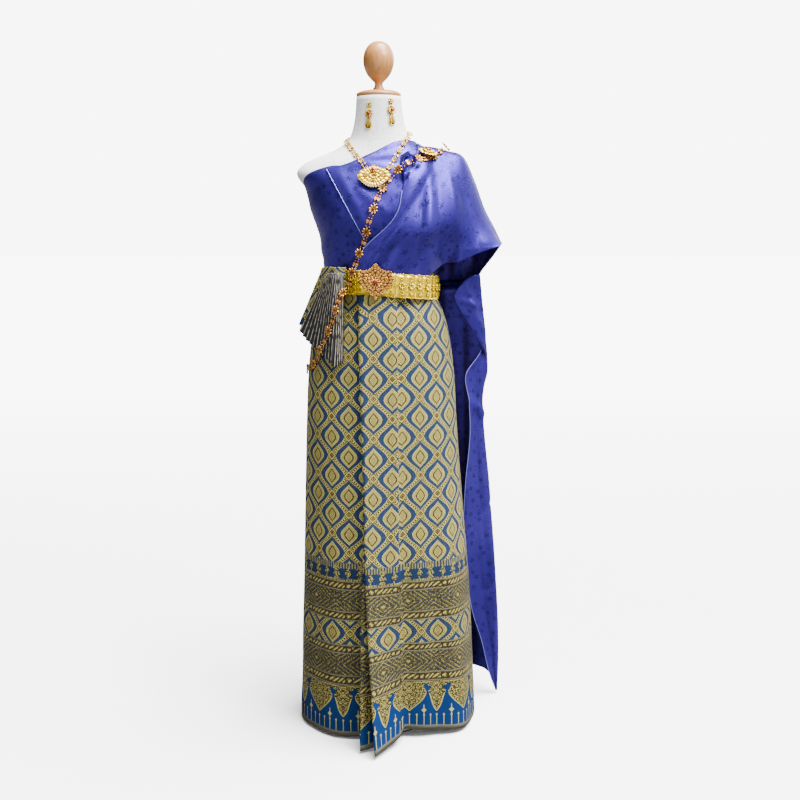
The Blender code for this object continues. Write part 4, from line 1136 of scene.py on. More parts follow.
# %% The brocade's finish, put together
def brocade_finish(name):
    made = Finish(name, metallic=0.20, sheen_weight=0.0, specular_ior_level=0.12)
    u, v = made.threads()
    band = in_row(v, OGEE_BAND)
    shift = FIRST_MOTIF - (OGEE_BAND.low + OGEE_BAND.high) / 2
    field = either(v.over(FRINGE.high), band)
    blue, brown, pale = field_masks(made, u, v + band * shift)
    blue, brown, pale = blue * field, brown * field, pale * field

    # Scrollwork that is the same left and right of each point, as loom patterns are.
    on_right, past_left = u.over(REPEAT_WIDE * 1.4), u.over(REPEAT_WIDE * -0.9)
    from_point = u - past_left.mix(LEFT_POINT, on_right.mix(PANEL_POINT, RIGHT_POINT))
    from_diamond = u - past_left.mix(LEFT_DIAMOND, on_right.mix(PANEL_DIAMOND, RIGHT_DIAMOND))
    point = from_point.repeat(POINT_PITCH).ends()
    mirrored = made.noise(made.together(point, v), LACE_SCALE, 1.0)
    in_diamond = from_diamond.repeat(DIAMOND_PITCH).ends()
    speckle = made.noise(made.together(in_diamond, v), SPECKLE_SCALE, 1.0)
    sway = made.noise(made.together(u, 0.0), SWAY_SCALE, 0.0) * SWAY

    lines = v.under(-1.0)
    for row in ROPES:
        here = in_row(v, row)
        dark, bright = rope_masks(u, v, row, sway)
        brown = either(brown, here * dark)
        pale = either(pale, here * bright)
        for edge in (row.low - 0.0018, row.high + 0.0018):
            lines = either(lines, (v - edge).ends().under(LINE_HALF))
    for row in DIAMOND_BANDS:
        here = in_row(v, row)
        blues, dark, light = diamond_masks(from_diamond, v, row, speckle)
        blue = either(blue, here * blues * 0.85)
        brown = either(brown, here * dark * 0.90)
        pale = either(pale, here * light * 0.75)

    ground, lace_dark, lace_pale, lights = point_masks(v, point, from_point, mirrored)
    blue_fringe, plant_dark, plant_pale = fringe_masks(u, v, mirrored)
    above = v.over(POINTS.high) * v.under(ROPES[0].low)
    tape = v.under(HEM_TAPE.high)
    all_blue = either(blue, blue_fringe)
    all_dark = either(brown, lace_dark, plant_dark, above * mirrored.over(0.55))
    all_pale = either(pale, lace_pale, lights, plant_pale)

    border = v.under(FRINGE.high)
    thread = made.noise(made.together(u * 0.35, v), THREAD_SCALE, 1.0)
    weave = made.noise(made.together(u, v), WEAVE_SCALE, 1.0)
    in_repeat = made.together(u.repeat(REPEAT_WIDE).ends(), v.repeat(REPEAT_HIGH))
    grain = made.noise(in_repeat, GRAIN_SCALE, 1.0)
    depth = either(grain.soft(0.44, 0.58), weave.soft(0.42, 0.66))
    colour = made.blend(depth * field.mix(1.0, 0.62), GOLD, GOLD_SHADE)
    # Random pale specks on the gold: a tone that varies from thread to thread, and painted glints
    # of the gold threads.
    colour = made.blend(grain.under(0.45) * weave.soft(0.60, 0.44) * 0.8, colour, CREAM)
    colour = made.blend(border * (1.0 - band) * 0.50, colour, GOLD_SHADE)
    colour = made.blend(all_dark * 0.92, colour, BROWN)
    colour = made.blend(all_blue * weave.mix(0.85, 1.0), colour, BLUE)
    colour = made.blend(all_blue * (all_dark + 0.25) * border, colour, NIGHT)
    colour = made.blend(ground, colour, HEM_BLUE)
    colour = made.blend(all_pale * border.mix(0.92, 0.62), colour, CREAM)
    colour = made.blend(lines, colour, GREY_LINE)
    colour = made.blend(tape, colour, TAPE)
    made.colour(colour)
    woven = either(all_blue, ground)
    made.rough(woven.mix(0.40, 0.62) + thread * 0.12)
    plug(made.tree, woven.mix(0.24, 0.03), made.surface.inputs["Metallic"])
    made.relief(woven.mix(0.6, 0.0) + all_pale * 0.3 + thread * 0.35, 0.0004, 0.7)
    return made.material


brocade = brocade_finish("brocade")
skirt = add_cloth(
    "skirt", skirt_grid, brocade, BROCADE, "skirt_body", threads=skirt_uv, closed=True, offset=0.0
)
skirt_area = flat_area(skirt.data)
print("skirt cloth", round(skirt_area, 3), "m2, nodes", len(brocade.node_tree.nodes))


# %% [markdown]
# The shoulder cloth is a long satin scarf with sprigs woven in its own colour. It goes once round
# the chest, crosses in front and is thrown over the left shoulder, where it spreads like a cape.
# Satin is smooth, so it shines in broad soft bands, and the sprigs glint or go dark as the light
# turns. Broad patches of a lighter and a darker tone are painted on it too: painted sheen and
# painted shade. Each stretch that shows is one sheet, laid on what is under it.

# %% Satin with woven sprigs
SPRIG_SPACING = 0.026
SPRIG_RADIUS = 0.0062
# The lighter satin tone is painted sheen and the deeper one is painted shade; the sprig colour is
# the woven figure's own.
SATIN_PAINTED_SHEEN = (0.047, 0.028, 0.290)
SATIN_PAINTED_SHADE = (0.026, 0.014, 0.190)
SPRIG_DARK = (0.006, 0.002, 0.070)


def satin_finish(name, glint):
    made = Finish(name, metallic=0.80, sheen_weight=0.10, sheen_roughness=0.35)
    made.surface.inputs["Sheen Tint"].default_value = (0.45, 0.42, 1.0, 1.0)
    u, v = made.threads()
    flat = made.together(u, v)
    cell = made.tree.nodes.new("ShaderNodeTexVoronoi")
    cell.voronoi_dimensions = "2D"
    plug(made.tree, flat, cell.inputs["Vector"])
    cell.inputs["Scale"].default_value = 1 / SPRIG_SPACING
    cell.inputs["Randomness"].default_value = 0.75
    seat_of = made.node("SeparateXYZ", vector=cell.outputs["Position"])
    dx = u - Value(made.tree, seat_of.outputs["X"]) * 1.0
    dy = v - Value(made.tree, seat_of.outputs["Y"]) * 1.0
    reach = (dx * dx + dy * dy).math("SQRT")
    turn = dy.math("ARCTAN2", dx)
    petals = (turn * 5.0 + Value(made.tree, cell.outputs["Distance"]) * 3.0).math("COSINE")
    flower = (reach * (1 / SPRIG_RADIUS) - (petals * 0.38 + 0.62)).under(0.0) * reach.over(0.0009)
    leaves = made.noise(flat, 210.0, 2.0, 0.6)
    scatter = made.noise(flat, 26.0, 1.0)
    vines = leaves.over(0.60) * scatter.over(0.50)
    sprig = either(flower, vines * 0.8)
    # Broad random patches between the two satin tones: painted sheen and painted shade.
    wide = made.noise(flat, 6.0, 2.0)
    thread = made.noise(made.together(u * 4.0, v), 700.0, 1.0)
    ground = made.blend(wide.soft(0.35, 0.65), SATIN_PAINTED_SHADE, SATIN_PAINTED_SHEEN)
    made.colour(made.blend(sprig * 0.75, ground, SPRIG_DARK))
    spark = leaves.over(0.66) * made.noise(flat, 11.0, 1.0).over(0.45)
    made.rough(sprig.mix(0.37, 0.30) - spark * glint + thread * 0.06)
    made.relief(sprig * 0.5 + thread * 0.3 + leaves * 0.4, 0.0005, 0.55)
    return made.material


satin = satin_finish("satin", 0.12)

# %% [markdown]
# Real cloth never lies as evenly as a curve through a table. Soft folds are strokes drawn on the
# cloth from one place to another, each a shallow trough or ridge that fades at its ends. Some are
# at the back and under the arm, where nobody looks first.

# %% Soft folds
Fold = namedtuple("Fold", "side x0 z0 x1 z1 width depth")


def fold_depth(point, folds):
    moved = 0.0
    for stroke in folds:
        if (point.y < 0.02) != (stroke.side == "front"):
            continue
        along = Vector((stroke.x1 - stroke.x0, stroke.z1 - stroke.z0))
        here = Vector((point.x - stroke.x0, point.z - stroke.z0))
        share = here.dot(along) / along.length_squared
        if not -0.25 < share < 1.25:
            continue
        away = abs(here.x * along.y - here.y * along.x) / along.length
        ends = min(max((0.5 - abs(share - 0.5) + 0.25) / 0.5, 0.0), 1.0)
        moved += stroke.depth * bell(away, stroke.width) * ends * ends * (3 - 2 * ends)
    return moved


def folded(grid, folds, closed=False):
    normals = normals_of(grid, closed)
    return [
        [point + normals[row][k] * fold_depth(point, folds) for k, point in enumerate(points)]
        for row, points in enumerate(grid)
    ]


Edge = namedtuple("Edge", "angle z")
WRAP_TOP = [
    Edge(-180, 1.186),
    Edge(-120, 1.182),
    Edge(-90, 1.186),
    Edge(-66, 1.209),
    Edge(-45, 1.228),
    Edge(-30, 1.236),
    Edge(0, 1.225),
    Edge(45, 1.195),
    Edge(90, 1.182),
    Edge(180, 1.186),
]
WRAP_BOTTOM = 0.986
WRAP_ROWS = 40
WRAP_COLUMNS = 120
WRAP_FOLDS = [
    Fold("front", -0.118, 1.02, -0.060, 1.10, 0.007, 0.0030),
    Fold("front", -0.122, 1.05, -0.075, 1.15, 0.008, 0.0028),
    Fold("front", -0.100, 1.00, -0.040, 1.06, 0.006, 0.0026),
    Fold("back", -0.100, 1.03, 0.000, 1.12, 0.009, 0.0035),
    Fold("back", -0.080, 1.08, 0.020, 1.17, 0.009, 0.0035),
    Fold("back", -0.110, 1.00, 0.010, 1.05, 0.007, 0.0030),
]


def wrap_grid():
    grid = []
    for t in spread(0.0, 1.0, WRAP_ROWS):
        row = []
        for n in range(WRAP_COLUMNS):
            angle = -math.pi + 2 * math.pi * n / WRAP_COLUMNS
            top = track(WRAP_TOP, "z", math.degrees(angle))
            row.append(form_point(angle, WRAP_BOTTOM + (top - WRAP_BOTTOM) * t))
        grid.append(row)
    return draped(grid, [torso], closed=True, passes=1)


chest = folded(wrap_grid(), WRAP_FOLDS, closed=True)
wrap = add_cloth("wrap_cloth", chest, satin, SATIN, "sabai_wrap", closed=True)
print("chest wrap", round(flat_area(wrap.data), 4), "m2")

# %% The layer at the throat
Strip = namedtuple("Strip", "s top_x top_z low_x low_z")
FRONT_STRIPS = [
    Strip(0.00, -0.104, 1.229, -0.020, 1.076),
    Strip(0.25, -0.058, 1.241, 0.008, 1.082),
    Strip(0.50, -0.008, 1.263, 0.040, 1.102),
    Strip(0.75, 0.040, 1.286, 0.078, 1.140),
    Strip(1.00, 0.080, 1.289, 0.112, 1.205),
]
FRONT_COLUMNS = 56
FRONT_ROWS = 36
FRONT_FOLDS = [
    Fold("front", -0.075, 1.215, -0.010, 1.100, 0.010, 0.0020),
    Fold("front", -0.050, 1.238, 0.030, 1.235, 0.007, 0.0022),
    Fold("front", -0.020, 1.250, 0.060, 1.262, 0.006, 0.0026),
    Fold("front", 0.000, 1.225, 0.070, 1.220, 0.009, 0.0024),
    Fold("front", -0.040, 1.190, 0.030, 1.130, 0.010, 0.0022),
]


def front_y(x, z, stand=0.004):
    """How far forward a point stands just off the form's front."""
    centre = track(FORM_SECTIONS, "centre", z)
    half_width = track(FORM_SECTIONS, "half_width", z) + stand
    front = track(FORM_SECTIONS, "front", z) + stand
    power = track(FORM_SECTIONS, "power", z)
    share = min(abs(x - centre) / half_width, 1.0)
    return -front * (1 - share**power) ** (1 / power)


def front_grid():
    grid = []
    for v in spread(0.0, 1.0, FRONT_ROWS):
        row = []
        for s in spread(0.0, 1.0, FRONT_COLUMNS):
            low = Vector((track(FRONT_STRIPS, "low_x", s), track(FRONT_STRIPS, "low_z", s)))
            top = Vector((track(FRONT_STRIPS, "top_x", s), track(FRONT_STRIPS, "top_z", s)))
            x, z = low.lerp(top, v)
            row.append(Vector((x, front_y(x, z), z)))
        grid.append(row)
    return draped(grid, [torso, wrap])


throat = folded(front_grid(), FRONT_FOLDS)
front = add_cloth("throat_layer", throat, satin, SATIN, "sabai_front")
print("throat layer", round(flat_area(front.data), 4), "m2")

# %% Over the shoulder
Line = namedtuple("Line", "s waist rib breast collar ridge blade hang")
SHOULDER_LINES = [
    Line(0.00, (-0.046, -0.098, 0.997), (-0.030, -0.112, 1.062), (0.038, -0.116, 1.130),
         (0.080, -0.066, 1.215), (0.083, -0.004, 1.279), (0.060, 0.078, 1.200),
         (0.030, 0.118, 0.980)),
    Line(0.16, (0.012, -0.104, 0.997), (0.030, -0.112, 1.060), (0.074, -0.118, 1.125),
         (0.110, -0.062, 1.236), (0.114, 0.000, 1.275), (0.100, 0.088, 1.190),
         (0.075, 0.129, 0.980)),
    Line(0.30, (0.064, -0.096, 0.998), (0.078, -0.104, 1.062), (0.110, -0.110, 1.122),
         (0.141, -0.056, 1.228), (0.147, 0.000, 1.267), (0.140, 0.090, 1.180),
         (0.120, 0.139, 0.981)),
    Line(0.44, (0.106, -0.068, 1.010), (0.119, -0.082, 1.067), (0.146, -0.090, 1.122),
         (0.173, -0.046, 1.212), (0.182, 0.004, 1.256), (0.180, 0.086, 1.168),
         (0.163, 0.141, 0.983)),
    Line(0.58, (0.141, -0.038, 1.032), (0.153, -0.058, 1.074), (0.176, -0.066, 1.116),
         (0.197, -0.036, 1.174), (0.207, 0.008, 1.208), (0.211, 0.078, 1.138),
         (0.198, 0.134, 0.986)),
    Line(0.72, (0.174, -0.056, 1.039), (0.188, -0.058, 1.067), (0.208, -0.050, 1.092),
         (0.223, -0.024, 1.128), (0.230, 0.012, 1.148), (0.236, 0.068, 1.096),
         (0.218, 0.120, 0.990)),
    Line(0.86, (0.217, -0.050, 1.057), (0.227, -0.046, 1.069), (0.239, -0.036, 1.081),
         (0.248, -0.014, 1.096), (0.253, 0.016, 1.104), (0.250, 0.064, 1.064),
         (0.226, 0.112, 0.999)),
    Line(1.00, (0.260, -0.030, 1.0700), (0.2625, -0.026, 1.0715), (0.2655, -0.018, 1.0735),
         (0.267, -0.006, 1.074), (0.266, 0.012, 1.071), (0.250, 0.050, 1.043),
         (0.2276, 0.096, 1.008)),
]
SHOULDER_ROWS = 88
SHOULDER_COLUMNS = 76
SHOULDER_FOLDS = [
    Fold("front", 0.094, 1.180, 0.088, 1.010, 0.006, -0.0045),
    Fold("front", 0.108, 1.200, 0.106, 1.020, 0.010, 0.0045),
    Fold("front", 0.128, 1.190, 0.140, 1.030, 0.008, -0.0030),
    Fold("front", 0.150, 1.210, 0.178, 1.060, 0.010, 0.0040),
    Fold("front", 0.175, 1.190, 0.215, 1.075, 0.008, -0.0035),
    Fold("front", 0.110, 1.235, 0.060, 1.150, 0.008, 0.0050),
    Fold("front", 0.060, 1.130, -0.020, 1.020, 0.008, 0.0040),
    Fold("front", 0.045, 1.080, -0.010, 1.000, 0.007, -0.0035),
    Fold("front", 0.120, 1.090, 0.060, 1.005, 0.010, -0.0030),
    Fold("back", 0.080, 1.220, 0.050, 1.000, 0.012, 0.0060),
    Fold("back", 0.110, 1.230, 0.090, 1.000, 0.010, -0.0060),
    Fold("back", 0.140, 1.220, 0.130, 1.000, 0.012, 0.0065),
    Fold("back", 0.175, 1.200, 0.175, 1.000, 0.011, -0.0060),
    Fold("back", 0.205, 1.150, 0.215, 1.020, 0.010, 0.0050),
]


def shoulder_grid():
    grid = []
    for t in spread(0.0, 1.0, SHOULDER_ROWS):
        row = []
        for s in spread(0.0, 1.0, SHOULDER_COLUMNS):
            stations = [track(SHOULDER_LINES, name, s) for name in Line._fields[1:]]
            row.append(through(stations, t))
        grid.append(row)
    hang = [point.copy() for point in grid[-1]]
    grid = draped(folded(grid, SHOULDER_FOLDS), [torso, wrap, skirt, front], reach=CLOSE_REACH)
    grid[-1] = hang
    return grid, hang


shoulder_points, hang_line = shoulder_grid()
shoulder = add_cloth("shoulder_cloth", shoulder_points, satin, SATIN, "sabai_shoulder")
print("shoulder stretch", round(flat_area(shoulder.data), 4), "m2")

# %% The tail behind the hip
Tail = namedtuple("Tail", "z fold_x fold_y flap_x flap_y inner_x inner_y wave")
TAIL_LEVELS = [
    Tail(0.006, 0.2825, 0.112, 0.2790, 0.108, 0.130, 0.176, 0.008),
    Tail(0.062, 0.2840, 0.112, 0.2600, 0.096, 0.128, 0.175, 0.008),
    Tail(0.135, 0.2835, 0.113, 0.2430, 0.090, 0.124, 0.174, 0.008),
    Tail(0.222, 0.2800, 0.114, 0.2170, 0.086, 0.118, 0.172, 0.008),
    Tail(0.383, 0.2680, 0.116, 0.1960, 0.084, 0.108, 0.168, 0.008),
    Tail(0.530, 0.2565, 0.117, 0.1980, 0.084, 0.098, 0.164, 0.008),
    Tail(0.640, 0.2445, 0.117, 0.2080, 0.084, 0.088, 0.160, 0.007),
    Tail(0.718, 0.2400, 0.116, 0.2040, 0.084, 0.078, 0.156, 0.006),
    Tail(0.776, 0.2505, 0.115, 0.1960, 0.086, 0.070, 0.151, 0.005),
    Tail(0.815, 0.2490, 0.113, 0.2240, 0.094, 0.062, 0.146, 0.004),
    Tail(0.850, 0.2450, 0.111, 0.2420, 0.107, 0.055, 0.142, 0.003),
    Tail(0.935, 0.2360, 0.107, 0.2330, 0.103, 0.042, 0.132, 0.002),
    Tail(0.980, 0.2300, 0.102, 0.2270, 0.098, 0.030, 0.119, 0.000),
]
TAIL_TOP = 0.980
TAIL_SEAM = 0.0001
BACK_BOTTOM = 0.062
BOTTOM_CORNER = 9
TAIL_WAVES = 2.5
TAIL_BACK_POINTS = 60
TAIL_FLAP_POINTS = 22
TAIL_ROWS = 100
TAIL_FOLDS = [
    Fold("back", 0.243, 0.80, 0.262, 0.55, 0.006, 0.0030),
    Fold("back", 0.205, 0.72, 0.262, 0.66, 0.007, -0.0045),
    Fold("back", 0.225, 0.60, 0.255, 0.30, 0.008, 0.0035),
    Fold("back", 0.235, 0.45, 0.265, 0.47, 0.006, 0.0030),
    Fold("back", 0.262, 0.40, 0.277, 0.12, 0.006, -0.0030),
    Fold("back", 0.240, 0.26, 0.270, 0.28, 0.007, 0.0035),
    Fold("back", 0.150, 0.95, 0.165, 0.20, 0.014, 0.0060),
    Fold("back", 0.190, 0.90, 0.205, 0.30, 0.012, -0.0050),
]


def tail_grid(hang):
    grid = []
    for t in spread(0.0, 1.0, TAIL_ROWS):
        row = []
        top_row = t > 1 - 1e-9
        for n in range(TAIL_BACK_POINTS):
            share = n / (TAIL_BACK_POINTS - 1)
            bottom = BACK_BOTTOM + (TAIL_LEVELS[0].z - BACK_BOTTOM) * share**BOTTOM_CORNER
            z = bottom + (TAIL_TOP - bottom) * t
            ends = {name: track(TAIL_LEVELS, name, z) for name in Tail._fields[1:]}
            x = ends["inner_x"] + (ends["fold_x"] - ends["inner_x"]) * share
            y = ends["inner_y"] + (ends["fold_y"] - ends["inner_y"]) * share
            y += ends["wave"] * math.sin(2 * math.pi * TAIL_WAVES * share) * (1 - share)
            if top_row:
                place = through(hang, share)
                x, y, z = place.x, place.y, place.z - TAIL_SEAM
            row.append(Vector((x, y, z)))
        for n in range(1, TAIL_FLAP_POINTS + 1):
            share = n / TAIL_FLAP_POINTS
            z = TAIL_LEVELS[0].z + (TAIL_TOP - TAIL_LEVELS[0].z) * t
            ends = {name: track(TAIL_LEVELS, name, z) for name in Tail._fields[1:]}
            x = ends["fold_x"] + (ends["flap_x"] - ends["fold_x"]) * share
            turn = 0.004 * math.sin(math.pi * min(share * 2, 1.0))
            y = ends["fold_y"] + (ends["flap_y"] - ends["fold_y"]) * (0.3 + 0.7 * share) - turn
            if top_row:
                corner = row[TAIL_BACK_POINTS - 1]
                x, y, z = corner.x - 0.003 * share, corner.y - 0.004 * share, corner.z - 0.003
            row.append(Vector((x, y, z)))
        grid.append(row)
    return grid


tail_flat = tail_grid(hang_line)
tail_points = [*folded(tail_flat, TAIL_FOLDS)[:-1], tail_flat[-1]]
tail = add_cloth("tail_cloth", tail_points, satin, SATIN, "sabai_tail")
print("tail", round(flat_area(tail.data), 4), "m2")

# %% The doubled edge under the cape
Cascade = namedtuple("Cascade", "z free_x free_y fold_x fold_y")
CASCADE_LEVELS = [
    Cascade(0.820, 0.2430, 0.100, 0.2465, 0.106),
    Cascade(0.854, 0.2246, 0.088, 0.2430, 0.104),
    Cascade(0.904, 0.1957, 0.080, 0.2385, 0.102),
    Cascade(0.941, 0.1720, 0.078, 0.2345, 0.100),
    Cascade(0.956, 0.1678, 0.078, 0.2330, 0.099),
    Cascade(0.985, 0.1864, 0.080, 0.2300, 0.096),
    Cascade(1.003, 0.2080, 0.083, 0.2275, 0.092),
]
CASCADE_POINTS = 22
CASCADE_ROWS = 48
BELT_REACH = 0.012
CASCADE_FOLDS = [
    Fold("back", 0.190, 0.985, 0.238, 0.870, 0.008, 0.0040),
    Fold("back", 0.215, 0.990, 0.232, 0.900, 0.006, -0.0035),
    Fold("back", 0.180, 0.950, 0.225, 0.930, 0.007, 0.0030),
]


def cascade_grid():
    grid = []
    for z in spread(CASCADE_LEVELS[0].z, CASCADE_LEVELS[-1].z, CASCADE_ROWS):
        row = []
        for share in spread(0.0, 1.0, CASCADE_POINTS):
            ends = {name: track(CASCADE_LEVELS, name, z) for name in Cascade._fields[1:]}
            x = ends["free_x"] + (ends["fold_x"] - ends["free_x"]) * share
            y = ends["free_y"] + (ends["fold_y"] - ends["free_y"]) * share
            row.append(Vector((x, y - 0.006 * math.sin(math.pi * share), z)))
        grid.append(row)
    return draped(folded(grid, CASCADE_FOLDS), [tail], reach=BELT_REACH)


cascade_points = cascade_grid()
cascade = add_cloth("cascade_cloth", cascade_points, satin, SATIN, "sabai_cascade")
print("cascade", round(flat_area(cascade.data), 4), "m2")


# %% [markdown]
# The belt and the jewellery are gold work built from a few small shapes: a petal plate pressed in
# a die, an almond cup, and beads soldered along the edges. So a few shapes are modelled, and
# Geometry Nodes puts a copy on every seat. A seat says where the copy stands, which way its face
# and its length point, and how large it is. Hand work is never quite even, so sizes vary a little.

# %% Copies at seats with Geometry Nodes
Seat = namedtuple("Seat", "place along out size")


def copies_group():
    """A copy of the shape on every seat, turned and sized by what the seat stores."""
    group = bpy.data.node_groups.new("copies_at_seats", "GeometryNodeTree")
    for name, kind in (
        ("Seats", "Geometry"), ("Shape", "Object"), ("Finish", "Material"),
        ("Unevenness", "Float"), ("Seed", "Int"),
    ):
        group.interface.new_socket(name, in_out="INPUT", socket_type="NodeSocket" + kind)
    group.interface.new_socket("Copies", in_out="OUTPUT", socket_type="NodeSocketGeometry")

    def node(kind, inputs=(), **settings):
        made = group.nodes.new(kind)
        for setting, value in settings.items():
            setattr(made, setting, value)
        for port, source in dict(inputs).items():
            if isinstance(source, bpy.types.NodeSocket):
                group.links.new(source, made.inputs[port])
            else:
                made.inputs[port].default_value = source
        return made

    def stored(name, kind):
        named = node("GeometryNodeInputNamedAttribute", {"Name": name}, data_type=kind)
        return named.outputs["Attribute"]

    def maths(operation, first, second):
        return node("ShaderNodeMath", {0: first, 1: second}, operation=operation).outputs[0]

    given = node("NodeGroupInput").outputs
    turn = node(
        "FunctionNodeAxesToRotation",
        {
            "Primary Axis": stored("out", "FLOAT_VECTOR"),
            "Secondary Axis": stored("along", "FLOAT_VECTOR"),
        },
        primary_axis="Z",
        secondary_axis="X",
    )
    uneven = node("FunctionNodeRandomValue", {"Seed": given["Seed"]}, data_type="FLOAT")
    low, high = [socket for socket in uneven.inputs if socket.type == "VALUE"][:2]
    group.links.new(maths("SUBTRACT", 1.0, given["Unevenness"]), low)
    group.links.new(maths("ADD", 1.0, given["Unevenness"]), high)
    about_one = next(socket for socket in uneven.outputs if socket.type == "VALUE")
    shape = node("GeometryNodeObjectInfo", {"Object": given["Shape"]})
    copies = node("GeometryNodeInstanceOnPoints", {
        "Points": given["Seats"], "Instance": shape.outputs["Geometry"],
        "Rotation": turn.outputs["Rotation"],
        "Scale": maths("MULTIPLY", stored("size", "FLOAT"), about_one),
    })
    whole = node("GeometryNodeRealizeInstances", {"Geometry": copies.outputs["Instances"]})
    finish = node("GeometryNodeSetMaterial", {
        "Geometry": whole.outputs["Geometry"], "Material": given["Finish"],
    })
    node("NodeGroupOutput", {"Copies": finish.outputs["Geometry"]})
    return group


COPIES = copies_group()
SOCKETS = {item.name: item.identifier for item in COPIES.interface.items_tree}


def copied(shape, seats, material, unevenness=0.03, seed=7):
    """One mesh with a copy of the shape on each seat. A unit of size is a metre."""
    cloud = bpy.data.meshes.new("seats")
    cloud.from_pydata([tuple(seat.place) for seat in seats], [], [])
    for name in ("along", "out"):
        values = [part for seat in seats for part in getattr(seat, name)]
        cloud.attributes.new(name, "FLOAT_VECTOR", "POINT").data.foreach_set("vector", values)
    sizes = [seat.size for seat in seats]
    cloud.attributes.new("size", "FLOAT", "POINT").data.foreach_set("value", sizes)
    model = bpy.data.objects.new("shape", shape)
    holder = bpy.data.objects.new("copies", cloud)
    for made in (model, holder):
        scene.collection.objects.link(made)
    modifier = holder.modifiers.new("copies", "NODES")
    modifier.node_group = COPIES
    modifier[SOCKETS["Shape"]] = model
    modifier[SOCKETS["Finish"]] = material
    modifier[SOCKETS["Unevenness"]] = unevenness
    modifier[SOCKETS["Seed"]] = seed
    graph = bpy.context.evaluated_depsgraph_get()
    mesh = bpy.data.meshes.new_from_object(holder.evaluated_get(graph))
    for made in (model, holder):
        bpy.data.objects.remove(made, do_unlink=True)
    return mesh


def merged(name, meshes):
    """One mesh of several, with their recess values kept."""
    points, faces, recess = [], [], []
    for mesh in meshes:
        start = len(points)
        points.extend(tuple(vertex.co) for vertex in mesh.vertices)
        faces.extend([start + k for k in face.vertices] for face in mesh.polygons)
        stored = mesh.attributes.get("recess")
        recess.extend([row.value for row in stored.data] if stored else [0.0] * len(mesh.vertices))
    whole = bpy.data.meshes.new(name)
    whole.from_pydata(points, [], faces)
    whole.attributes.new("recess", "FLOAT", "POINT").data.foreach_set("value", recess)
    whole.shade_smooth()
    return whole


# %% [markdown]
# Gold work is bright on its crests and dark in its hollows. The dark is partly the brown film that
# wear leaves where polish never reaches, and partly painted shade. Each pressed shape stores how
# deep every point lies, and the finish reads it. The belt is a clear yellow plating, and the buckle
# and chain have the redder gilding that Thai stage jewellery often has.

# %% Gold, stones and pearls
def metal_finish(name, crest, hollow_film_and_shade):
    made = Finish(name, metallic=0.78, specular_ior_level=0.2)
    stored = made.tree.nodes.new("ShaderNodeAttribute")
    stored.attribute_name = "recess"
    recess = Value(made.tree, stored.outputs["Fac"])
    place = made.place()
    grain = made.noise(place, 900.0, 2.0)
    patches = made.noise(place, 160.0, 2.0).soft(0.35, 0.7)
    # The hollows darken by depth: partly a brown film of wear, partly painted shade.
    film_and_shade = (recess * 1.15 + patches * 0.22 - 0.12).soft(0.05, 0.95)
    made.colour(made.blend(film_and_shade, crest, hollow_film_and_shade))
    made.rough(film_and_shade.mix(0.20, 0.55) + grain * 0.08)
    made.relief(grain + patches * 0.5, 0.0002, 0.5)
    return made.material


def stone_finish(name, colour):
    made = Finish(
        name, roughness=0.10, specular_ior_level=0.5, coat_weight=0.2, coat_roughness=0.03
    )
    facets = made.noise(made.place(), 420.0, 1.0)
    made.colour(made.blend(facets.soft(0.4, 0.6), colour, tuple(c * 0.45 for c in colour)))
    return made.material


# The second colour of each gold is its hollows: a brown film and painted shade.
gold = metal_finish("gold", (0.86, 0.55, 0.050), (0.080, 0.034, 0.003))
belt_gold = metal_finish("belt_gold", (0.93, 0.66, 0.010), (0.130, 0.070, 0.002))
rose_gold = metal_finish("rose_gold", (0.70, 0.34, 0.070), (0.070, 0.018, 0.004))
red_stone = stone_finish("red_stone", (0.30, 0.001, 0.003))
dark_stone = stone_finish("dark_stone", (0.055, 0.003, 0.005))
pink_stone = stone_finish("pink_stone", (0.70, 0.20, 0.24))
pearl = stone_finish("pearl", (0.72, 0.66, 0.50))

# %% Pressed shapes
def valley(angle, count):
    """0 along the middle of each of count petals, 1 between two of them."""
    turn = (angle * count / (2 * math.pi)) % 1.0
    return 1.0 - abs(2 * turn - 1.0)


def lobed(count, radius, cut, wide=1.0, segments=None):
    """A petal outline, pointed at the end of each petal."""
    segments = segments or count * 6
    points = []
    for n in range(segments):
        angle = 2 * math.pi * n / segments
        reach = radius * (1 - cut * valley(angle, count) ** 0.8)
        points.append((reach * math.cos(angle) * wide, reach * math.sin(angle)))
    return points


Ring = namedtuple("Ring", "start end petals height")


def pressed(name, outline, rings, thickness, steps=12):
    """A plate with rings of petals pressed up from it, and a flat back."""
    count = len(outline)
    points, recess, faces = [(0.0, 0.0, thickness)], [0.3], []
    for share in spread(0.0, 1.0, steps + 1)[1:]:
        for x, y in outline:
            angle = math.atan2(y, x)
            lift, most = 0.0, 1e-9
            for ring in rings:
                most = max(most, ring.height)
                if not ring.start < share <= ring.end:
                    continue
                part = (share - ring.start) / (ring.end - ring.start)
                lift = ring.height * math.sin(math.pi * part**0.8)
                lift *= max(1 - valley(angle, ring.petals) ** 2 * 1.15, -0.1)
            points.append((x * share, y * share, thickness + lift))
            recess.append(min(max(1 - lift / (0.6 * most), 0.0), 1.0))
    for x, y in outline:
        points.append((x * 0.97, y * 0.97, 0.0))
        recess.append(0.8)
    faces.extend((0, 1 + k, 1 + (k + 1) % count) for k in range(count))
    for row in range(steps):
        start = 1 + row * count
        for k in range(count):
            after = (k + 1) % count
            faces.append((start + k, start + count + k, start + count + after, start + after))
    faces.append([1 + steps * count + k for k in reversed(range(count))])
    mesh = bpy.data.meshes.new(name)
    mesh.from_pydata(points, [], faces)
    mesh.attributes.new("recess", "FLOAT", "POINT").data.foreach_set("value", recess)
    mesh.shade_smooth()
    return mesh


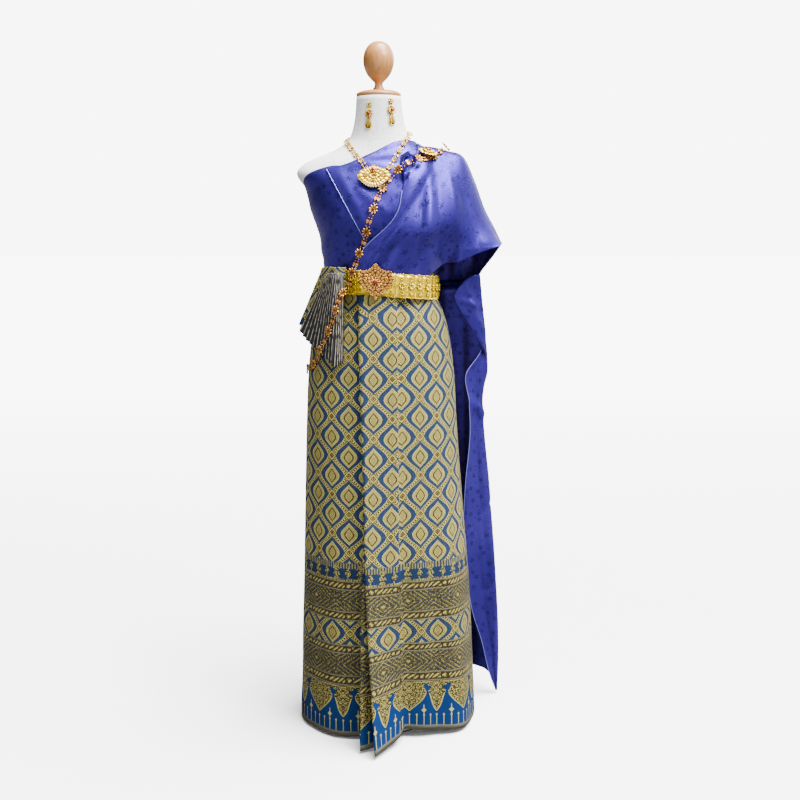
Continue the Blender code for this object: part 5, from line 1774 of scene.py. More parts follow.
def dome(name, segments=16, rings=6, height=0.62, below=0.2):
    """A rounded stone or bead of unit radius, its flat foot a little below its seat."""
    points, faces = [(0.0, 0.0, height)], []
    for r in range(1, rings + 1):
        tilt = math.pi / 2 * r / rings
        for n in range(segments):
            angle = 2 * math.pi * n / segments
            flat = math.sin(tilt)
            points.append((flat * math.cos(angle), flat * math.sin(angle), height * math.cos(tilt)))
    last = 1 + (rings - 1) * segments
    for n in range(segments):
        x, y, _ = points[last + n]
        points.append((x, y, -below))
    faces.extend((0, 1 + n, 1 + (n + 1) % segments) for n in range(segments))
    for r in range(rings):
        start = 1 + r * segments
        for n in range(segments):
            after = (n + 1) % segments
            faces.append(
                (start + n, start + segments + n, start + segments + after, start + after)
            )
    faces.append([1 + rings * segments + n for n in reversed(range(segments))])
    mesh = bpy.data.meshes.new(name)
    mesh.from_pydata(points, [], faces)
    mesh.shade_smooth()
    return mesh


BEAD = dome("bead", segments=6, rings=2, height=0.9)
STONE = dome("stone")
DROP = dome("drop", segments=8, rings=3, height=0.9)
SMALL_FLOWER = pressed("small_flower", lobed(8, 1.0, 0.30, segments=32), [
    Ring(0.0, 0.35, 1, 0.30), Ring(0.35, 1.0, 8, 0.42)], 0.10, steps=6)
STAR_LINK = pressed("star_link", lobed(8, 1.0, 0.36, segments=48), [
    Ring(0.0, 0.26, 1, 0.16), Ring(0.26, 0.52, 8, 0.16), Ring(0.52, 1.0, 8, 0.24)], 0.10, steps=9)
ALMOND = pressed("almond", lobed(2, 1.0, 0.62, segments=24), [
    Ring(0.0, 0.45, 1, 0.18), Ring(0.45, 1.0, 1, 0.22)], 0.12, steps=5)
for shape in (BEAD, STONE, SMALL_FLOWER, STAR_LINK, ALMOND):
    print("shape", shape.name, len(shape.polygons), "faces")

# %% [markdown]
# The belt is a row of hinged plates, each pressed with a flower between two smaller ones, with
# beads along its seams and both edges. A worn belt is taut: seen from above it spans the hollows
# of the waist, so its line is the convex outline of what it goes round.

# %% The plate belt
BELT_HEIGHT = 0.046
BELT_PLATES = 34
BELT_FRONT_Z = 0.997
BELT_DROP = 0.016
LOOSE_LAYER = 0.010
COARSE_CELLS = 2
FINE_CELLS = 8
BELT_ROWS = 9
BEAD_SIZE = 0.00125
BAND_THICK = 0.0018
PLATE_RISE = 0.0016
SCALLOP = 0.0014
MIDDLE_FLOWER, SIDE_FLOWER, SEAM_FLOWER = 0.0088, 0.0052, 0.0022
SEAM_BEADS, EDGE_BEADS = 15, 7
HULL_LEVELS, HULL_RAYS = 5, 180


def hull_round(snug, loose, low, high):
    """The taut outline in plan round the snug objects and what lies close on them."""
    snug_tree, loose_tree = tree_of(snug), tree_of(loose)
    points = []
    for z in spread(low, high, HULL_LEVELS):
        for n in range(HULL_RAYS):
            angle = math.radians(360 / HULL_RAYS * n)
            out = Vector((math.sin(angle), -math.cos(angle), 0.0))
            start = Vector((AXIS_X, 0.0, z)) + out
            hit = snug_tree.ray_cast(start, -out, 1.0)
            over = loose_tree.ray_cast(start, -out, 1.0)
            if over[0] is not None and 0.0 < hit[3] - over[3] < LOOSE_LAYER:
                hit = over
            points.append((hit[0].x, hit[0].y))
    return [Vector(points[n]) for n in convex_hull_2d(points)]


def evenly(corners, count):
    """Points at even distances along a closed outline."""
    closed = [*corners, corners[0]]
    lengths = [(b - a).length for a, b in zip(closed, closed[1:])]
    total = sum(lengths)
    found = []
    k, passed = 0, 0.0
    for n in range(count):
        want = total * n / count
        while passed + lengths[k] < want:
            passed += lengths[k]
            k += 1
        found.append(closed[k].lerp(closed[k + 1], (want - passed) / lengths[k]))
    return found


def belt_rows(snug, loose):
    """The belt's lower and upper edge as taut lines, draped as one band."""
    low = BELT_FRONT_Z - BELT_HEIGHT / 2 - BELT_DROP
    high = BELT_FRONT_Z + BELT_HEIGHT / 2
    outline = evenly(hull_round(snug, loose, low, high), COARSE_CELLS * BELT_PLATES)
    middle = sum(outline, Vector((0, 0))) / len(outline)
    grid = []
    for side in (-0.5, 0.5):
        row = []
        for point in outline:
            place = point + (point - middle).normalized() * REST_GAP
            drop = BELT_DROP * min(max((place.x + 0.02) / 0.15, 0.0), 1.0)
            row.append(Vector((place.x, place.y, BELT_FRONT_Z - drop + side * BELT_HEIGHT)))
        grid.append(row)
    return draped(grid, [*snug, *loose], closed=True, reach=BELT_REACH)


low_edge, high_edge = belt_rows([wrap, skirt], [shoulder])
belt_count = BELT_PLATES * FINE_CELLS
belt_low = [through(low_edge, n / belt_count, closed=True) for n in range(belt_count)]
belt_high = [through(high_edge, n / belt_count, closed=True) for n in range(belt_count)]
belt_flat = [
    [belt_low[n].lerp(belt_high[n], v) for n in range(belt_count)]
    for v in spread(0.0, 1.0, BELT_ROWS)
]
belt_out = normals_of(belt_flat, closed=True)
belt_grid = []
for row, v in enumerate(spread(0.0, 1.0, BELT_ROWS)):
    points = []
    for n in range(belt_count):
        across = abs(n % FINE_CELLS - FINE_CELLS / 2) / (FINE_CELLS / 2)
        rise = PLATE_RISE * (1 - across**3) * (1 - abs(2 * v - 1) ** 6)
        scallop = SCALLOP * (1 - across**2) * (2 * v - 1) * (abs(2 * v - 1) > 0.99)
        points.append(belt_flat[row][n] + belt_out[row][n] * rise + Vector((0, 0, scallop)))
    belt_grid.append(points)
band = grid_mesh("band", belt_grid, closed=True)
band.update()
work = bmesh.new()
work.from_mesh(band)
bmesh.ops.solidify(work, geom=work.faces[:], thickness=BAND_THICK)
bmesh.ops.recalc_face_normals(work, faces=work.faces[:])
work.to_mesh(band)
work.free()


def belt_seat(at, v, size, lift=PLATE_RISE):
    """A seat on the belt: at counts plates round it, v goes up it."""
    n = at * FINE_CELLS
    k = int(n) % belt_count
    after = (k + 1) % belt_count
    low = belt_low[k].lerp(belt_low[after], n - int(n))
    high = belt_high[k].lerp(belt_high[after], n - int(n))
    along = (belt_low[after] - belt_low[k]).normalized()
    out = along.cross(high - low).normalized()
    return Seat(low.lerp(high, v) + out * lift, along, out, size)


flowers, beads = [], []
for plate in range(BELT_PLATES):
    middle = plate + 0.5
    flowers.append(belt_seat(middle, 0.5, MIDDLE_FLOWER))
    flowers.extend(belt_seat(middle, v, SIDE_FLOWER) for v in (0.17, 0.83))
    flowers.extend(belt_seat(middle + side, 0.5, SEAM_FLOWER) for side in (-0.38, 0.38))
    beads.extend(
        belt_seat(plate + 0.03 * (n % 2), v, BEAD_SIZE, 0.0006)
        for n, v in enumerate(spread(0.04, 0.96, SEAM_BEADS))
    )
    for v, way in ((0.0, -1), (1.0, 1)):
        for n in range(EDGE_BEADS):
            at = (n + 0.5) / EDGE_BEADS
            bulge = SCALLOP * (1 - abs(2 * at - 1) ** 2) * way
            seat = belt_seat(plate + at, v, BEAD_SIZE * 1.15, 0.0008)
            beads.append(seat._replace(place=seat.place + Vector((0, 0, bulge))))
belt_mesh = merged("belt_plates", [
    band, copied(SMALL_FLOWER, flowers, belt_gold), copied(BEAD, beads, belt_gold, 0.08)])
belt = add_piece("belt_plates", belt_mesh, belt_gold, "belt_band")
print("belt:", BELT_PLATES, "plates,", len(flowers), "flowers,", len(beads), "beads")


# %% [markdown]
# At the wearer's right hip the end of the skirt's cloth is folded in narrow pleats and turned down
# over the belt line, so its dark reverse shows with fine pale lines. The face of the brocade shows
# only where it turns over. The pleats spread from one point, so they are drawn as rays.

# %% The turn-over and the fan
Ray = namedtuple("Ray", "s top_x top_z foot_x foot_z")
FAN_RAYS = [
    Ray(0.00, -0.104, 1.012, -0.166, 0.892), Ray(0.15, -0.101, 1.014, -0.150, 0.873),
    Ray(0.35, -0.095, 1.016, -0.128, 0.853), Ray(0.55, -0.088, 1.017, -0.108, 0.838),
    Ray(0.75, -0.080, 1.017, -0.090, 0.820), Ray(1.00, -0.069, 1.014, -0.072, 0.829),
]
TURNOVER_RAYS = [
    Ray(0.00, -0.117, 1.020, -0.170, 0.902), Ray(0.50, -0.110, 1.028, -0.146, 0.905),
    Ray(1.00, -0.064, 1.028, -0.066, 0.972),
]
FAN_SEED_Y = -0.100
FAN_PLEATS = 15
FAN_TOP_DEPTH = 0.0012
FAN_HEM_DEPTH = 0.0052
POINTS_PER_PLEAT = 6
FAN_ROWS = 26
TURNOVER_ROWS = 26
TURNOVER_COLUMNS = 30
COARSE_ROWS = 6
COARSE_TURNOVER = 7
FAN_REACH = 0.012


def reverse_finish():
    """The reverse of the brocade: near black floats, with a pale gold line along each pleat."""
    made = Finish("brocade_reverse", specular_ior_level=0.35)
    u, v = made.threads()
    line = (u * FAN_PLEATS).math("FRACT")
    across = (line - 0.5).ends()
    broken = made.noise(made.together(u * 60.0, v * 14.0), 1.0, 2.0).soft(0.34, 0.58)
    pale = either(across.under(0.055), across.over(0.455) * 0.5) * broken
    fibre = made.noise(made.together(u * 90.0, v * 8.0), 1.0, 3.0)
    ground = made.blend(fibre.soft(0.4, 0.75), (0.006, 0.006, 0.010), (0.035, 0.036, 0.045))
    made.colour(made.blend(pale, ground, (0.52, 0.47, 0.33)))
    made.rough(pale.mix(0.72, 0.45))
    made.relief(fibre + pale, 0.0004, 0.5)
    return made.material


def ray_grid(rays, columns, rows):
    grid = []
    for v in spread(0.0, 1.0, rows):
        row = []
        for s in spread(0.0, 1.0, columns):
            foot = Vector((track(rays, "foot_x", s), track(rays, "foot_z", s)))
            top = Vector((track(rays, "top_x", s), track(rays, "top_z", s)))
            x, z = foot.lerp(top, v)
            row.append(Vector((x, FAN_SEED_Y + 0.9 * max(-0.09 - x, 0.0), z)))
        grid.append(row)
    return grid


def refined(grid, rows, columns):
    """The same sheet with more points, on smooth curves through the ones it has."""
    wide = [[through(row, s) for s in spread(0.0, 1.0, columns)] for row in grid]
    return [
        [through([row[k] for row in wide], v) for k in range(columns)]
        for v in spread(0.0, 1.0, rows)
    ]


def laid_rays(rays, coarse_columns, columns, rows, below):
    """Laid coarsely first, so that it spans hollows as stiff cloth does, then laid close."""
    coarse = draped(ray_grid(rays, coarse_columns, COARSE_ROWS), below)
    return draped(refined(coarse, rows, columns), below, reach=FAN_REACH, passes=1)


reverse = reverse_finish()
under_fan = [torso, wrap, skirt, shoulder, belt]
turned_points = laid_rays(
    TURNOVER_RAYS, COARSE_TURNOVER, TURNOVER_COLUMNS, TURNOVER_ROWS, under_fan
)
turned_uv = [
    [(u + 0.021, v + FIRST_MOTIF + 0.2) for u, v in row] for row in plain_threads(turned_points)
]
turnover = add_cloth(
    "turnover_cloth", turned_points, brocade, BROCADE, "skirt_turnover", threads=turned_uv
)

fan_columns = FAN_PLEATS * POINTS_PER_PLEAT + 1
fan_points = laid_rays(
    FAN_RAYS, 2 * FAN_PLEATS + 1, fan_columns, FAN_ROWS, [*under_fan, turnover]
)
fan_normals = normals_of(fan_points)
fan_uv = []
for row, v in enumerate(spread(0.0, 1.0, FAN_ROWS)):
    depth = FAN_HEM_DEPTH + (FAN_TOP_DEPTH - FAN_HEM_DEPTH) * v
    for k in range(fan_columns):
        phase = (k % POINTS_PER_PLEAT) / POINTS_PER_PLEAT
        crest = 1.0 - abs(phase - 0.5) * 2
        fan_points[row][k] = fan_points[row][k] + fan_normals[row][k] * depth * crest
    fan_uv.append([(k / (fan_columns - 1), v) for k in range(fan_columns)])
fan = add_cloth("fan_cloth", fan_points, reverse, BROCADE, "skirt_fan", threads=fan_uv)
print("fan of", FAN_PLEATS, "pleats,", round(flat_area(fan.data), 4), "m2")


# %% [markdown]
# The scarf's long edges are rolled and stitched. The roll is coloured paler than the satin, a
# painted highlight that shows as a thin pale line. It is a fine tube along the edge: a curve with a
# bevel, turned into a mesh.

# %% Rolled hems
HEM_RADIUS = 0.0009
HEM_LIFT = 0.6


def painted_highlight_hem_finish():
    made = Finish("rolled_hem_painted_highlight", metallic=0.5)
    # The paler blue of the rolled edge is a painted highlight.
    made.colour(made.blend(made.noise(made.place(), 300.0), (0.16, 0.17, 0.62), (0.26, 0.27, 0.80)))
    made.rough(made.noise(made.place(), 900.0).mix(0.30, 0.45))
    return made.material


def tube_along(line, radius):
    curve = bpy.data.curves.new("hem", "CURVE")
    curve.dimensions = "3D"
    curve.bevel_depth = radius
    curve.bevel_resolution = 1
    curve.use_fill_caps = True
    spline = curve.splines.new("POLY")
    spline.points.add(len(line) - 1)
    for point, place in zip(spline.points, line):
        point.co = (*place, 1.0)
    holder = bpy.data.objects.new("hem", curve)
    scene.collection.objects.link(holder)
    mesh = bpy.data.meshes.new_from_object(
        holder.evaluated_get(bpy.context.evaluated_depsgraph_get())
    )
    bpy.data.objects.remove(holder, do_unlink=True)
    return mesh


def edge_line(grid, column, first=0.0, last=1.0):
    """The edge of a grid on its outer face, between two shares of its length."""
    lift = SATIN * HEM_LIFT
    rows = zip(grid, normals_of(grid))
    line = [points[column] + normals[column] * lift for points, normals in rows]
    low, high = int(first * (len(line) - 1)), int(last * (len(line) - 1)) + 1
    return line[low:high]


hem_lines = {
    "throat_hem": edge_line(throat, column=0),
    "crossing_hem": edge_line(shoulder_points, column=0, first=0.02, last=0.42),
    "cape_hem": edge_line(shoulder_points, column=-1, first=0.05, last=0.97),
    "tail_hem": edge_line(tail_points, column=-1, first=0.0, last=0.97),
}
hem = painted_highlight_hem_finish()
hem_mesh = merged("scarf_hems", [tube_along(line, HEM_RADIUS) for line in hem_lines.values()])
add_piece("scarf_hems", hem_mesh, hem)
print("hems:", {name: round(lengths_along(line)[-1], 2) for name, line in hem_lines.items()}, "m")


# %% [markdown]
# A tailor cuts flat cloth, so each sheet is stated at the size it was cut to before it was
# dressed: width, length and, where it isn't a rectangle, its flat area. The skirt is one brocade
# cloth in a tube with its spare width in the pleats, and its pleated end makes the fan. The scarf
# is one long cloth, stated in the five stretches that show.

# %% Sizes of the cut cloth
def cut_size(piece, grid, closed=False):
    """Width and length of a sheet along its longest row and column."""
    rows = [lengths_along([*row, row[0]] if closed else row)[-1] for row in grid]
    columns = [lengths_along([row[k] for row in grid])[-1] for k in range(len(grid[0]))]
    width, length = max(rows), max(columns)
    area = flat_area(piece.data)
    print(piece.name, "cut", round(width, 3), "x", round(length, 3), "m, area", round(area, 4))
    return (width, length), area


for piece, grid, held, under, closed in [
    (skirt, skirt_grid, "folded", [wrap], True),
    (turnover, turned_points, "folded", [belt], False),
    (fan, fan_points, "folded", [turnover, belt], False),
    (wrap, chest, "stretched", [torso], True),
    (front, throat, "draped", [wrap, torso], False),
    (shoulder, shoulder_points, "draped", [torso, wrap, front], False),
    (tail, tail_points, "hung", [shoulder], False),
    (cascade, cascade_points, "hung", [tail, shoulder], False),
]:
    flat, area = cut_size(piece, grid, closed)


# %% [markdown]
# The body chain is a closed loop of star links. It hangs from the left shoulder, crosses the
# chest, lies over the fan at the right hip and comes back behind. Between two stars the chain is
# two strands, each with an almond link holding a pink gem. The chain's line is laid on whatever
# is under it, first loosely, then close. The necklace is the same work at a smaller size.

# %% The body chain and the necklace
Point = namedtuple("Point", "x y z")
CHAIN_PATH = [
    Point(0.012, -0.13, 1.194), Point(-0.012, -0.13, 1.133), Point(-0.035, -0.13, 1.074),
    Point(-0.051, -0.12, 1.031), Point(-0.069, -0.12, 0.990), Point(-0.087, -0.12, 0.952),
    Point(-0.106, -0.12, 0.915), Point(-0.129, -0.11, 0.876), Point(-0.148, -0.08, 0.832),
    Point(-0.160, -0.03, 0.806), Point(-0.158, 0.03, 0.808), Point(-0.140, 0.09, 0.840),
    Point(-0.100, 0.12, 0.885), Point(-0.050, 0.12, 0.950), Point(0.005, 0.12, 1.030),
    Point(0.055, 0.12, 1.110), Point(0.100, 0.11, 1.190), Point(0.135, 0.06, 1.250),
    Point(0.148, 0.00, 1.280), Point(0.122, -0.05, 1.258), Point(0.080, -0.09, 1.245),
    Point(0.046, -0.11, 1.232),
]
NECKLACE_PATH = [
    Point(-0.010, -0.12, 1.222), Point(-0.032, -0.09, 1.246), Point(-0.058, -0.05, 1.278),
    Point(-0.066, 0.00, 1.292), Point(-0.048, 0.05, 1.304), Point(0.003, 0.07, 1.312),
    Point(0.052, 0.05, 1.312), Point(0.070, 0.00, 1.306), Point(0.058, -0.05, 1.285),
    Point(0.036, -0.09, 1.252), Point(0.012, -0.12, 1.222),
]
LINK_PITCH = 0.048
STAR_RADIUS = 0.0118
NECKLACE_PITCH = 0.022
NECKLACE_STAR = 0.0070
STRAND_HALF_WIDTH = 0.0032
CHAIN_GAP = 0.0010
CHAIN_REACH = 0.040
FINE_PER_LINK = 8
CORE_X, CORE_TOP = 0.01, 1.16
ALMOND_SHARE, BEAD_SHARE = 0.58, 0.13


def core_of(point):
    return Vector((CORE_X, 0.0, min(point.z, CORE_TOP)))


def chain_line(path, pitch, below):
    """Even points along the closed path, laid on what is below, and the way out at each."""
    tree = tree_of(below)
    coarse = 8 * len(path)
    seeds = []
    for n in range(coarse):
        point = through(path, n / coarse, closed=True)
        core = core_of(point)
        out = (point - core).normalized()
        hit = tree.ray_cast(core + out * 0.7, -out, 0.7)
        seeds.append(hit[0] + out * REST_GAP if hit[0] is not None else point)
    for _ in range(3):
        seeds = [
            (seeds[n - 1] + 2 * seeds[n] + seeds[(n + 1) % coarse]) / 4 for n in range(coarse)
        ]
    length = sum((seeds[n] - seeds[n - 1]).length for n in range(coarse))
    links = max(round(length / pitch), 3)
    centre = evenly(seeds, links * FINE_PER_LINK)
    count = len(centre)
    sides, outward = [[], []], []
    for n in range(count):
        along = (centre[(n + 1) % count] - centre[n - 1]).normalized()
        outward.append((centre[n] - core_of(centre[n])).normalized())
        across = along.cross(outward[n]).normalized() * STRAND_HALF_WIDTH
        sides[0].append(centre[n] + across)
        sides[1].append(centre[n] - across)
    sides = draped(sides, below, CHAIN_GAP, closed=True, reach=CHAIN_REACH, outward=[outward] * 2)
    return links, sides, tree


def laid_flat(place, along, out, radius, tree):
    """A seat whose whole disc clears what is below it."""
    side = out.cross(along).normalized()
    rise = 0.0
    for n in range(8):
        angle = math.pi * n / 4
        rim = place + (along * math.cos(angle) + side * math.sin(angle)) * radius
        hit = tree.ray_cast(rim + out * 0.02, -out, 0.04)
        if hit[0] is not None:
            rise = max(rise, 0.02 - hit[3])
    return Seat(place + out * (rise + 0.0003), along, out, radius)


def chain_seats(links, sides, star, tree):
    stars, almonds, beads = [], [], []
    count = len(sides[0])
    for n in range(count):
        after = (n + 1) % count
        middle = (sides[0][n] + sides[1][n]) / 2
        along = (sides[0][after] - sides[0][n - 1]).normalized()
        out = (sides[0][n] - sides[1][n]).cross(along).normalized()
        if out.dot(middle - core_of(middle)) < 0:
            out.negate()
        step = n % FINE_PER_LINK
        if step == 0:
            stars.append(laid_flat(middle, along, out, star, tree))
        if step == FINE_PER_LINK // 2:
            size = star * ALMOND_SHARE
            almonds.extend(laid_flat(side[n], along, out, size, tree) for side in sides)
        if step in (2, 3, 5, 6):
            size = star * BEAD_SHARE
            beads.extend(Seat(side[n] + out * 0.0006, along, out, size) for side in sides)
    return stars, almonds, beads


def raised(seats, lift, share):
    """Seats for stones: raised out of their cups, and a share of the link's size."""
    return [
        Seat(seat.place + seat.out * (seat.size * lift), seat.along, seat.out, seat.size * share)
        for seat in seats
    ]


def make_chain(name, path, pitch, star, below, material, *replaced):
    links, sides, tree = chain_line(path, pitch, below)
    stars, almonds, beads = chain_seats(links, sides, star, tree)
    mesh = merged(name, [
        copied(STAR_LINK, stars, material), copied(ALMOND, almonds, material),
        copied(BEAD, beads, material)])
    chain = add_piece(name, mesh, material, *replaced)
    print(name + ":", links, "links of", pitch * 1000, "mm,", len(mesh.polygons), "faces")
    return chain, raised(stars, 0.16, 0.20), raised(almonds, 0.14, 0.26)


under_chain = [torso, wrap, skirt, front, shoulder, belt, turnover, fan]
sangwan, star_stones, almond_gems = make_chain(
    "sangwan_links", CHAIN_PATH, LINK_PITCH, STAR_RADIUS, under_chain, rose_gold, "sangwan"
)
necklace, necklace_stones, necklace_gems = make_chain(
    "necklace_links", NECKLACE_PATH, NECKLACE_PITCH, NECKLACE_STAR, [*under_chain, sangwan],
    gold, "necklace",
)

# %% [markdown]
# The buckle is a pointed shield, the pendant a fan that carries small drops, and the brooch an
# oval sun with a second dish on it. All three are layers of pressed petals round one red stone.
# Each is laid on what is under it: rays are cast at its middle and four sides to find its tilt,
# and it is raised until nothing cuts into it.

# %% Laying a plate
Plate = namedtuple("Plate", "aim inward half_width half_height scallops scallop")
BUCKLE_AIM = (-0.003, -0.12, 0.999)
PENDANT_AIM = (-0.006, -0.12, 1.212)
BROOCH_AIM = (0.104, -0.06, 1.258)
FORWARD = (0, 1, 0)
BROOCH_WAY = (0, 0.85, -0.5)


def plate_turn(outline, aim, inward, below):
    """Where the plate's back goes: across, up and out on the surface below it."""
    tree = tree_of(below)
    width = max(abs(u) for u, _ in outline)
    height = max(abs(v) for _, v in outline)
    inward = Vector(inward).normalized()
    start = Vector(aim) - inward
    centre, left, right, low, high = [
        tree.ray_cast(start + Vector((u * width * 0.7, 0, v * height * 0.7)), inward, 3.0)[0]
        for u, v in ((0, 0), (-1, 0), (1, 0), (0, -1), (0, 1))
    ]
    out = (right - left).cross(high - low).normalized()
    across = (right - left - out * (right - left).dot(out)).normalized()
    up = out.cross(across)
    rise = -1.0
    for u, v in outline:
        for share in (0.0, 0.25, 0.5, 0.75, 1.0):
            point = centre + across * (u * share) + up * (v * share)
            hit = tree.ray_cast(point + out * REACH, -out, 2 * REACH)
            if hit[0] is not None:
                rise = max(rise, REACH - hit[3])
    place = centre + out * (rise + CHAIN_GAP)
    return Matrix.Translation(place) @ Matrix((across, up, out)).transposed().to_4x4()


def bead_line(outline, share, lift, count, size):
    """Flat seats for beads along the outline, drawn in to that share of it."""
    corners = [Vector((x * share, y * share, 0.0)) for x, y in outline]
    return [
        Seat(point + Vector((0, 0, lift)), Vector((1, 0, 0)), Vector((0, 0, 1)), size)
        for point in evenly(corners, count)
    ]


def flat_seat(x, y, lift, size):
    return Seat(Vector((x, y, lift)), Vector((1, 0, 0)), Vector((0, 0, 1)), size)


def laid_plate(name, layers, outline, aim, inward, below, finish, node):
    """One plate of those layers, laid on what is below it, and the turn that took it there."""
    mesh = merged(name, layers)
    turn = plate_turn(outline, aim, inward, below)
    mesh.transform(turn)
    piece = add_piece(name, mesh, finish, node)
    print(name, len(mesh.polygons), "faces")
    return turn


# %% Buckle, pendant and brooch
BUCKLE_CORNERS = [
    (0.0380, 0.003), (0.0345, 0.014), (0.0330, 0.0215), (0.0235, 0.0225), (0.0140, 0.0255),
    (0.0070, 0.0315), (0.0, 0.0375), (-0.0070, 0.0315), (-0.0140, 0.0255), (-0.0235, 0.0225),
    (-0.0330, 0.0215), (-0.0335, 0.011), (-0.0320, 0.0), (-0.0285, -0.0085), (-0.0200, -0.0180),
    (-0.0130, -0.0240), (-0.0060, -0.0300), (0.0, -0.0385), (0.0060, -0.0300),
    (0.0140, -0.0250), (0.0230, -0.0175), (0.0320, -0.0080),
]
PENDANT_CORNERS = [
    (0.0355, -0.001), (0.0330, 0.0070), (0.0240, 0.0130), (0.0130, 0.0180), (0.0, 0.0215),
    (-0.0130, 0.0180), (-0.0240, 0.0130), (-0.0310, 0.0070), (-0.0340, -0.001), (-0.0290, -0.0100),
    (-0.0210, -0.0170), (-0.0110, -0.0225), (0.0, -0.0245), (0.0120, -0.0225),
    (0.0220, -0.0170), (0.0300, -0.0100),
]
DROP_COUNT = 9
PLATE_THICK = 0.0020
BEAD_UNEVENNESS = 0.12
Spot = namedtuple("Spot", "x y lift size")
BUCKLE_FLOWERS = [
    Spot(0.0, 0.0, 0.0022, 0.0082), Spot(0.0, 0.0245, 0.0026, 0.0048),
    Spot(0.0, -0.0245, 0.0026, 0.0048), Spot(0.0225, 0.006, 0.0026, 0.0052),
    Spot(-0.0215, 0.006, 0.0026, 0.0052), Spot(0.0150, -0.0125, 0.0026, 0.0040),
    Spot(-0.0140, -0.0125, 0.0026, 0.0040), Spot(0.0, -0.0345, 0.0024, 0.0026),
    Spot(0.0, 0.0335, 0.0024, 0.0026),
]
PENDANT_FLOWERS = [
    Spot(0.0, 0.0120, 0.0020, 0.0078), Spot(0.0170, 0.0020, 0.0024, 0.0050),
    Spot(-0.0170, 0.0020, 0.0024, 0.0050), Spot(0.0, -0.0090, 0.0024, 0.0058),
    Spot(0.0, 0.0215, 0.0012, 0.0042),
]


def oval(half_width, half_height, count):
    return [
        (half_width * math.cos(2 * math.pi * n / count),
         half_height * math.sin(2 * math.pi * n / count)) for n in range(count)
    ]


def smooth_corners(corners, count):
    """Even points round a curve through the corners."""
    curve = [Vector((x, y, 0.0)) for x, y in corners]
    line = [through(curve, n / (4 * count), closed=True) for n in range(4 * count)]
    return [(point.x, point.y) for point in evenly(line, count)]


def plate_layers(outline, rings, steps, bead_rows, flowers, finish):
    """A pressed base, beads in rows at a share of its outline, and flowers on top."""
    beads = [seat for row in bead_rows for seat in bead_line(*row)]
    return [
        pressed("base", outline, rings, PLATE_THICK, steps=steps),
        copied(BEAD, beads, finish, BEAD_UNEVENNESS),
        copied(SMALL_FLOWER, [flat_seat(*spot) for spot in flowers], finish),
    ]


buckle_outline = smooth_corners(BUCKLE_CORNERS, 96)
buckle_layers = plate_layers(
    buckle_outline,
    [Ring(0.10, 0.30, 8, 0.0016), Ring(0.30, 0.52, 14, 0.0015), Ring(0.52, 0.76, 20, 0.0014),
     Ring(0.76, 1.0, 28, 0.0012)],
    28,
    [(buckle_outline, 0.97, 0.0026, 66, 0.00105), (buckle_outline, 0.53, 0.0028, 34, 0.00085),
     (oval(0.0088, 0.0088, 16), 1.0, 0.0030, 16, 0.0010)],
    BUCKLE_FLOWERS,
    rose_gold,
)
on_waist = [*under_chain, sangwan]
buckle_turn = laid_plate(
    "buckle_plate", buckle_layers, buckle_outline, BUCKLE_AIM, FORWARD, on_waist, rose_gold,
    "belt_buckle",
)

pendant_outline = smooth_corners(PENDANT_CORNERS, 80)
drop_line = [
    (0.0245 * math.sin(a), -0.0010 - 0.0240 * math.cos(a) ** 0.9)
    for a in spread(-0.85, 0.85, DROP_COUNT)
]
pendant_layers = plate_layers(
    pendant_outline,
    [Ring(0.12, 0.36, 10, 0.0014), Ring(0.36, 0.66, 16, 0.0014), Ring(0.66, 1.0, 22, 0.0014)],
    22,
    [(pendant_outline, 0.97, 0.0024, 56, 0.00105), (pendant_outline, 0.62, 0.0026, 34, 0.00085)],
    PENDANT_FLOWERS,
    gold,
)
on_chest = [*on_waist, necklace]
pendant_turn = laid_plate(
    "pendant_plate", pendant_layers, pendant_outline, PENDANT_AIM, FORWARD, on_chest, gold,
    "pendant",
)

brooch_outline = [(x * 2.05, y * 1.15) for x, y in lobed(16, 0.0122, 0.20, segments=96)]
dish_outline = [(x * 0.60, y * 0.62) for x, y in brooch_outline]
dish_beads = bead_line(oval(0.0118, 0.0068, 28), 1.0, 0.0058, 28, 0.00095)
brooch_layers = [
    pressed("base", brooch_outline, [Ring(0.15, 0.55, 12, 0.0012), Ring(0.55, 1.0, 16, 0.0022)],
            PLATE_THICK, steps=20),
    pressed("dish", dish_outline, [Ring(0.30, 0.80, 12, 0.0016), Ring(0.80, 1.0, 1, 0.0010)],
            0.0048, steps=14),
    copied(BEAD, dish_beads, gold, 0.1),
]
brooch_turn = laid_plate(
    "brooch_plate", brooch_layers, brooch_outline, BROOCH_AIM, BROOCH_WAY, on_chest, gold,
    "brooch",
)

# %% [markdown]
# Each earring is a small flower, a round flower with a red stone and a fan of fringes in one
# length. They are pinned on the cloth of the neck.

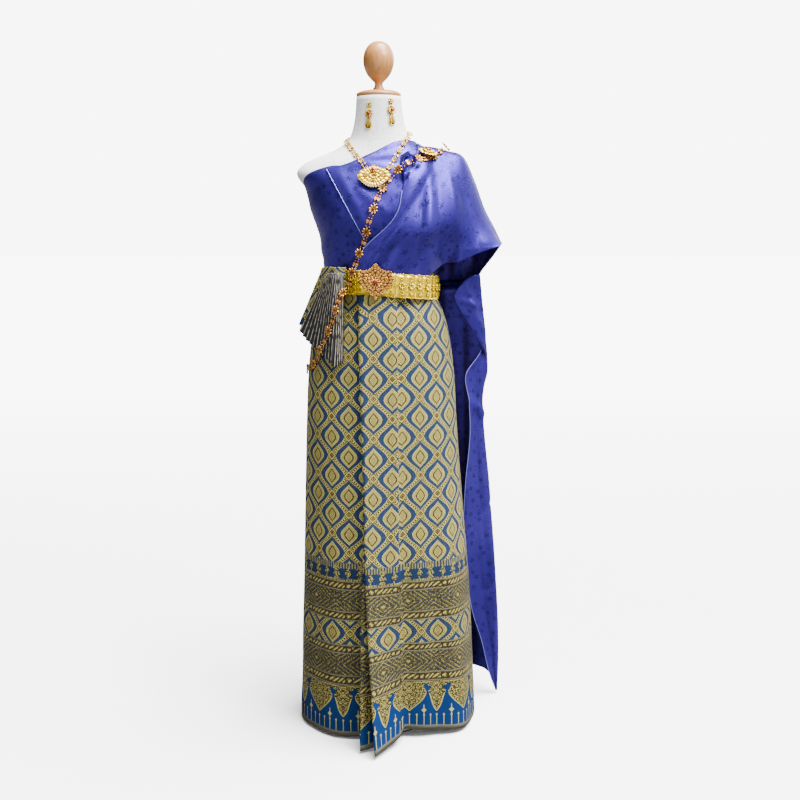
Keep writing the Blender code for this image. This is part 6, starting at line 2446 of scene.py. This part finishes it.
# %% Earrings
EARRINGS = {"right": (-0.016, 1.339), "left": (0.029, 1.347)}
FRINGES = 9
earring_stones = []
fan_corners = [(0.0, 0.0005)] + [
    (0.0128 * math.sin(a), 0.0015 - 0.0300 * math.cos(a)) for a in spread(-0.62, 0.62, 13)
]
for side, (x, z) in EARRINGS.items():
    flat = [
        pressed("round", lobed(10, 0.0095, 0.16, segments=60), [
            Ring(0.0, 0.30, 1, 0.0012), Ring(0.30, 0.62, 10, 0.0014),
            Ring(0.62, 1.0, 10, 0.0016)], 0.0022, steps=14),
        pressed("top", lobed(6, 0.0068, 0.28, segments=48), [
            Ring(0.0, 0.4, 1, 0.0012), Ring(0.4, 1.0, 6, 0.0014)], 0.0020, steps=8),
        pressed("skirt", fan_corners, [Ring(0.2, 1.0, 3 * FRINGES, 0.0012)], 0.0014, steps=14),
        copied(BEAD, [
            flat_seat(0.0125 * math.sin(a), 0.0015 - 0.0305 * math.cos(a), 0.0006, 0.0012)
            for a in spread(-0.60, 0.60, FRINGES)], gold),
    ]
    for mesh, rise in zip(flat, (0.004, 0.0215, 0.002, 0.002)):
        mesh.transform(Matrix.Translation((0.0, rise, 0.0)))
    whole = merged("earring_" + side, flat)
    reach = [(vertex.co.x, vertex.co.y) for vertex in whole.vertices][::12]
    turn = plate_turn(reach, (x, -0.1, z), FORWARD, [torso])
    earring_stones.append((turn, 0.004))
    whole.transform(turn)
    piece = add_piece("earring_flower_" + side, whole, gold, "earring_" + side)
print("earrings:", FRINGES, "fringes each")

# %% [markdown]
# Stones are cabochons: glass domes with a flat back, set in a cup of petals. The three large ones
# are red, the star links hold garnets dark enough to look black, and the almonds pink glass.

# %% Stones
def set_stone(turn, x, y, lift, size):
    """A stone's seat on a plate that has been laid."""
    turned = turn.to_3x3()
    place = turn @ Vector((x, y, lift))
    return Seat(place, turned @ Vector((1, 0, 0)), turned @ Vector((0, 0, 1)), size)


large = [
    set_stone(buckle_turn, 0.0, 0.0, 0.0044, 0.0054),
    set_stone(pendant_turn, 0.0, 0.0120, 0.0044, 0.0048),
    set_stone(brooch_turn, -0.0015, 0.003, 0.0060, 0.0060),
]
large.extend(set_stone(turn, 0.0, height, 0.0040, 0.0036) for turn, height in earring_stones)
red_mesh = merged("red_stones", [copied(STONE, large, red_stone, 0.0)])
reds = add_piece("red_stones", red_mesh, red_stone, "buckle_stone", "pendant_stone", "brooch_stone")
for name, seats, finish in [
    ("dark_stones", [*star_stones, *necklace_stones], dark_stone),
    ("pink_gems", [*almond_gems, *necklace_gems], pink_stone),
]:
    add_piece(name, merged(name, [copied(STONE, seats, finish)]), finish)
drops = [set_stone(pendant_turn, x, y, 0.0014, 0.0019) for x, y in drop_line]
add_piece("pendant_drops", merged("pendant_drops", [copied(DROP, drops, pearl)]), pearl)
print("stones:", len(large), "large,", len(star_stones), "garnets,", len(almond_gems), "gems")
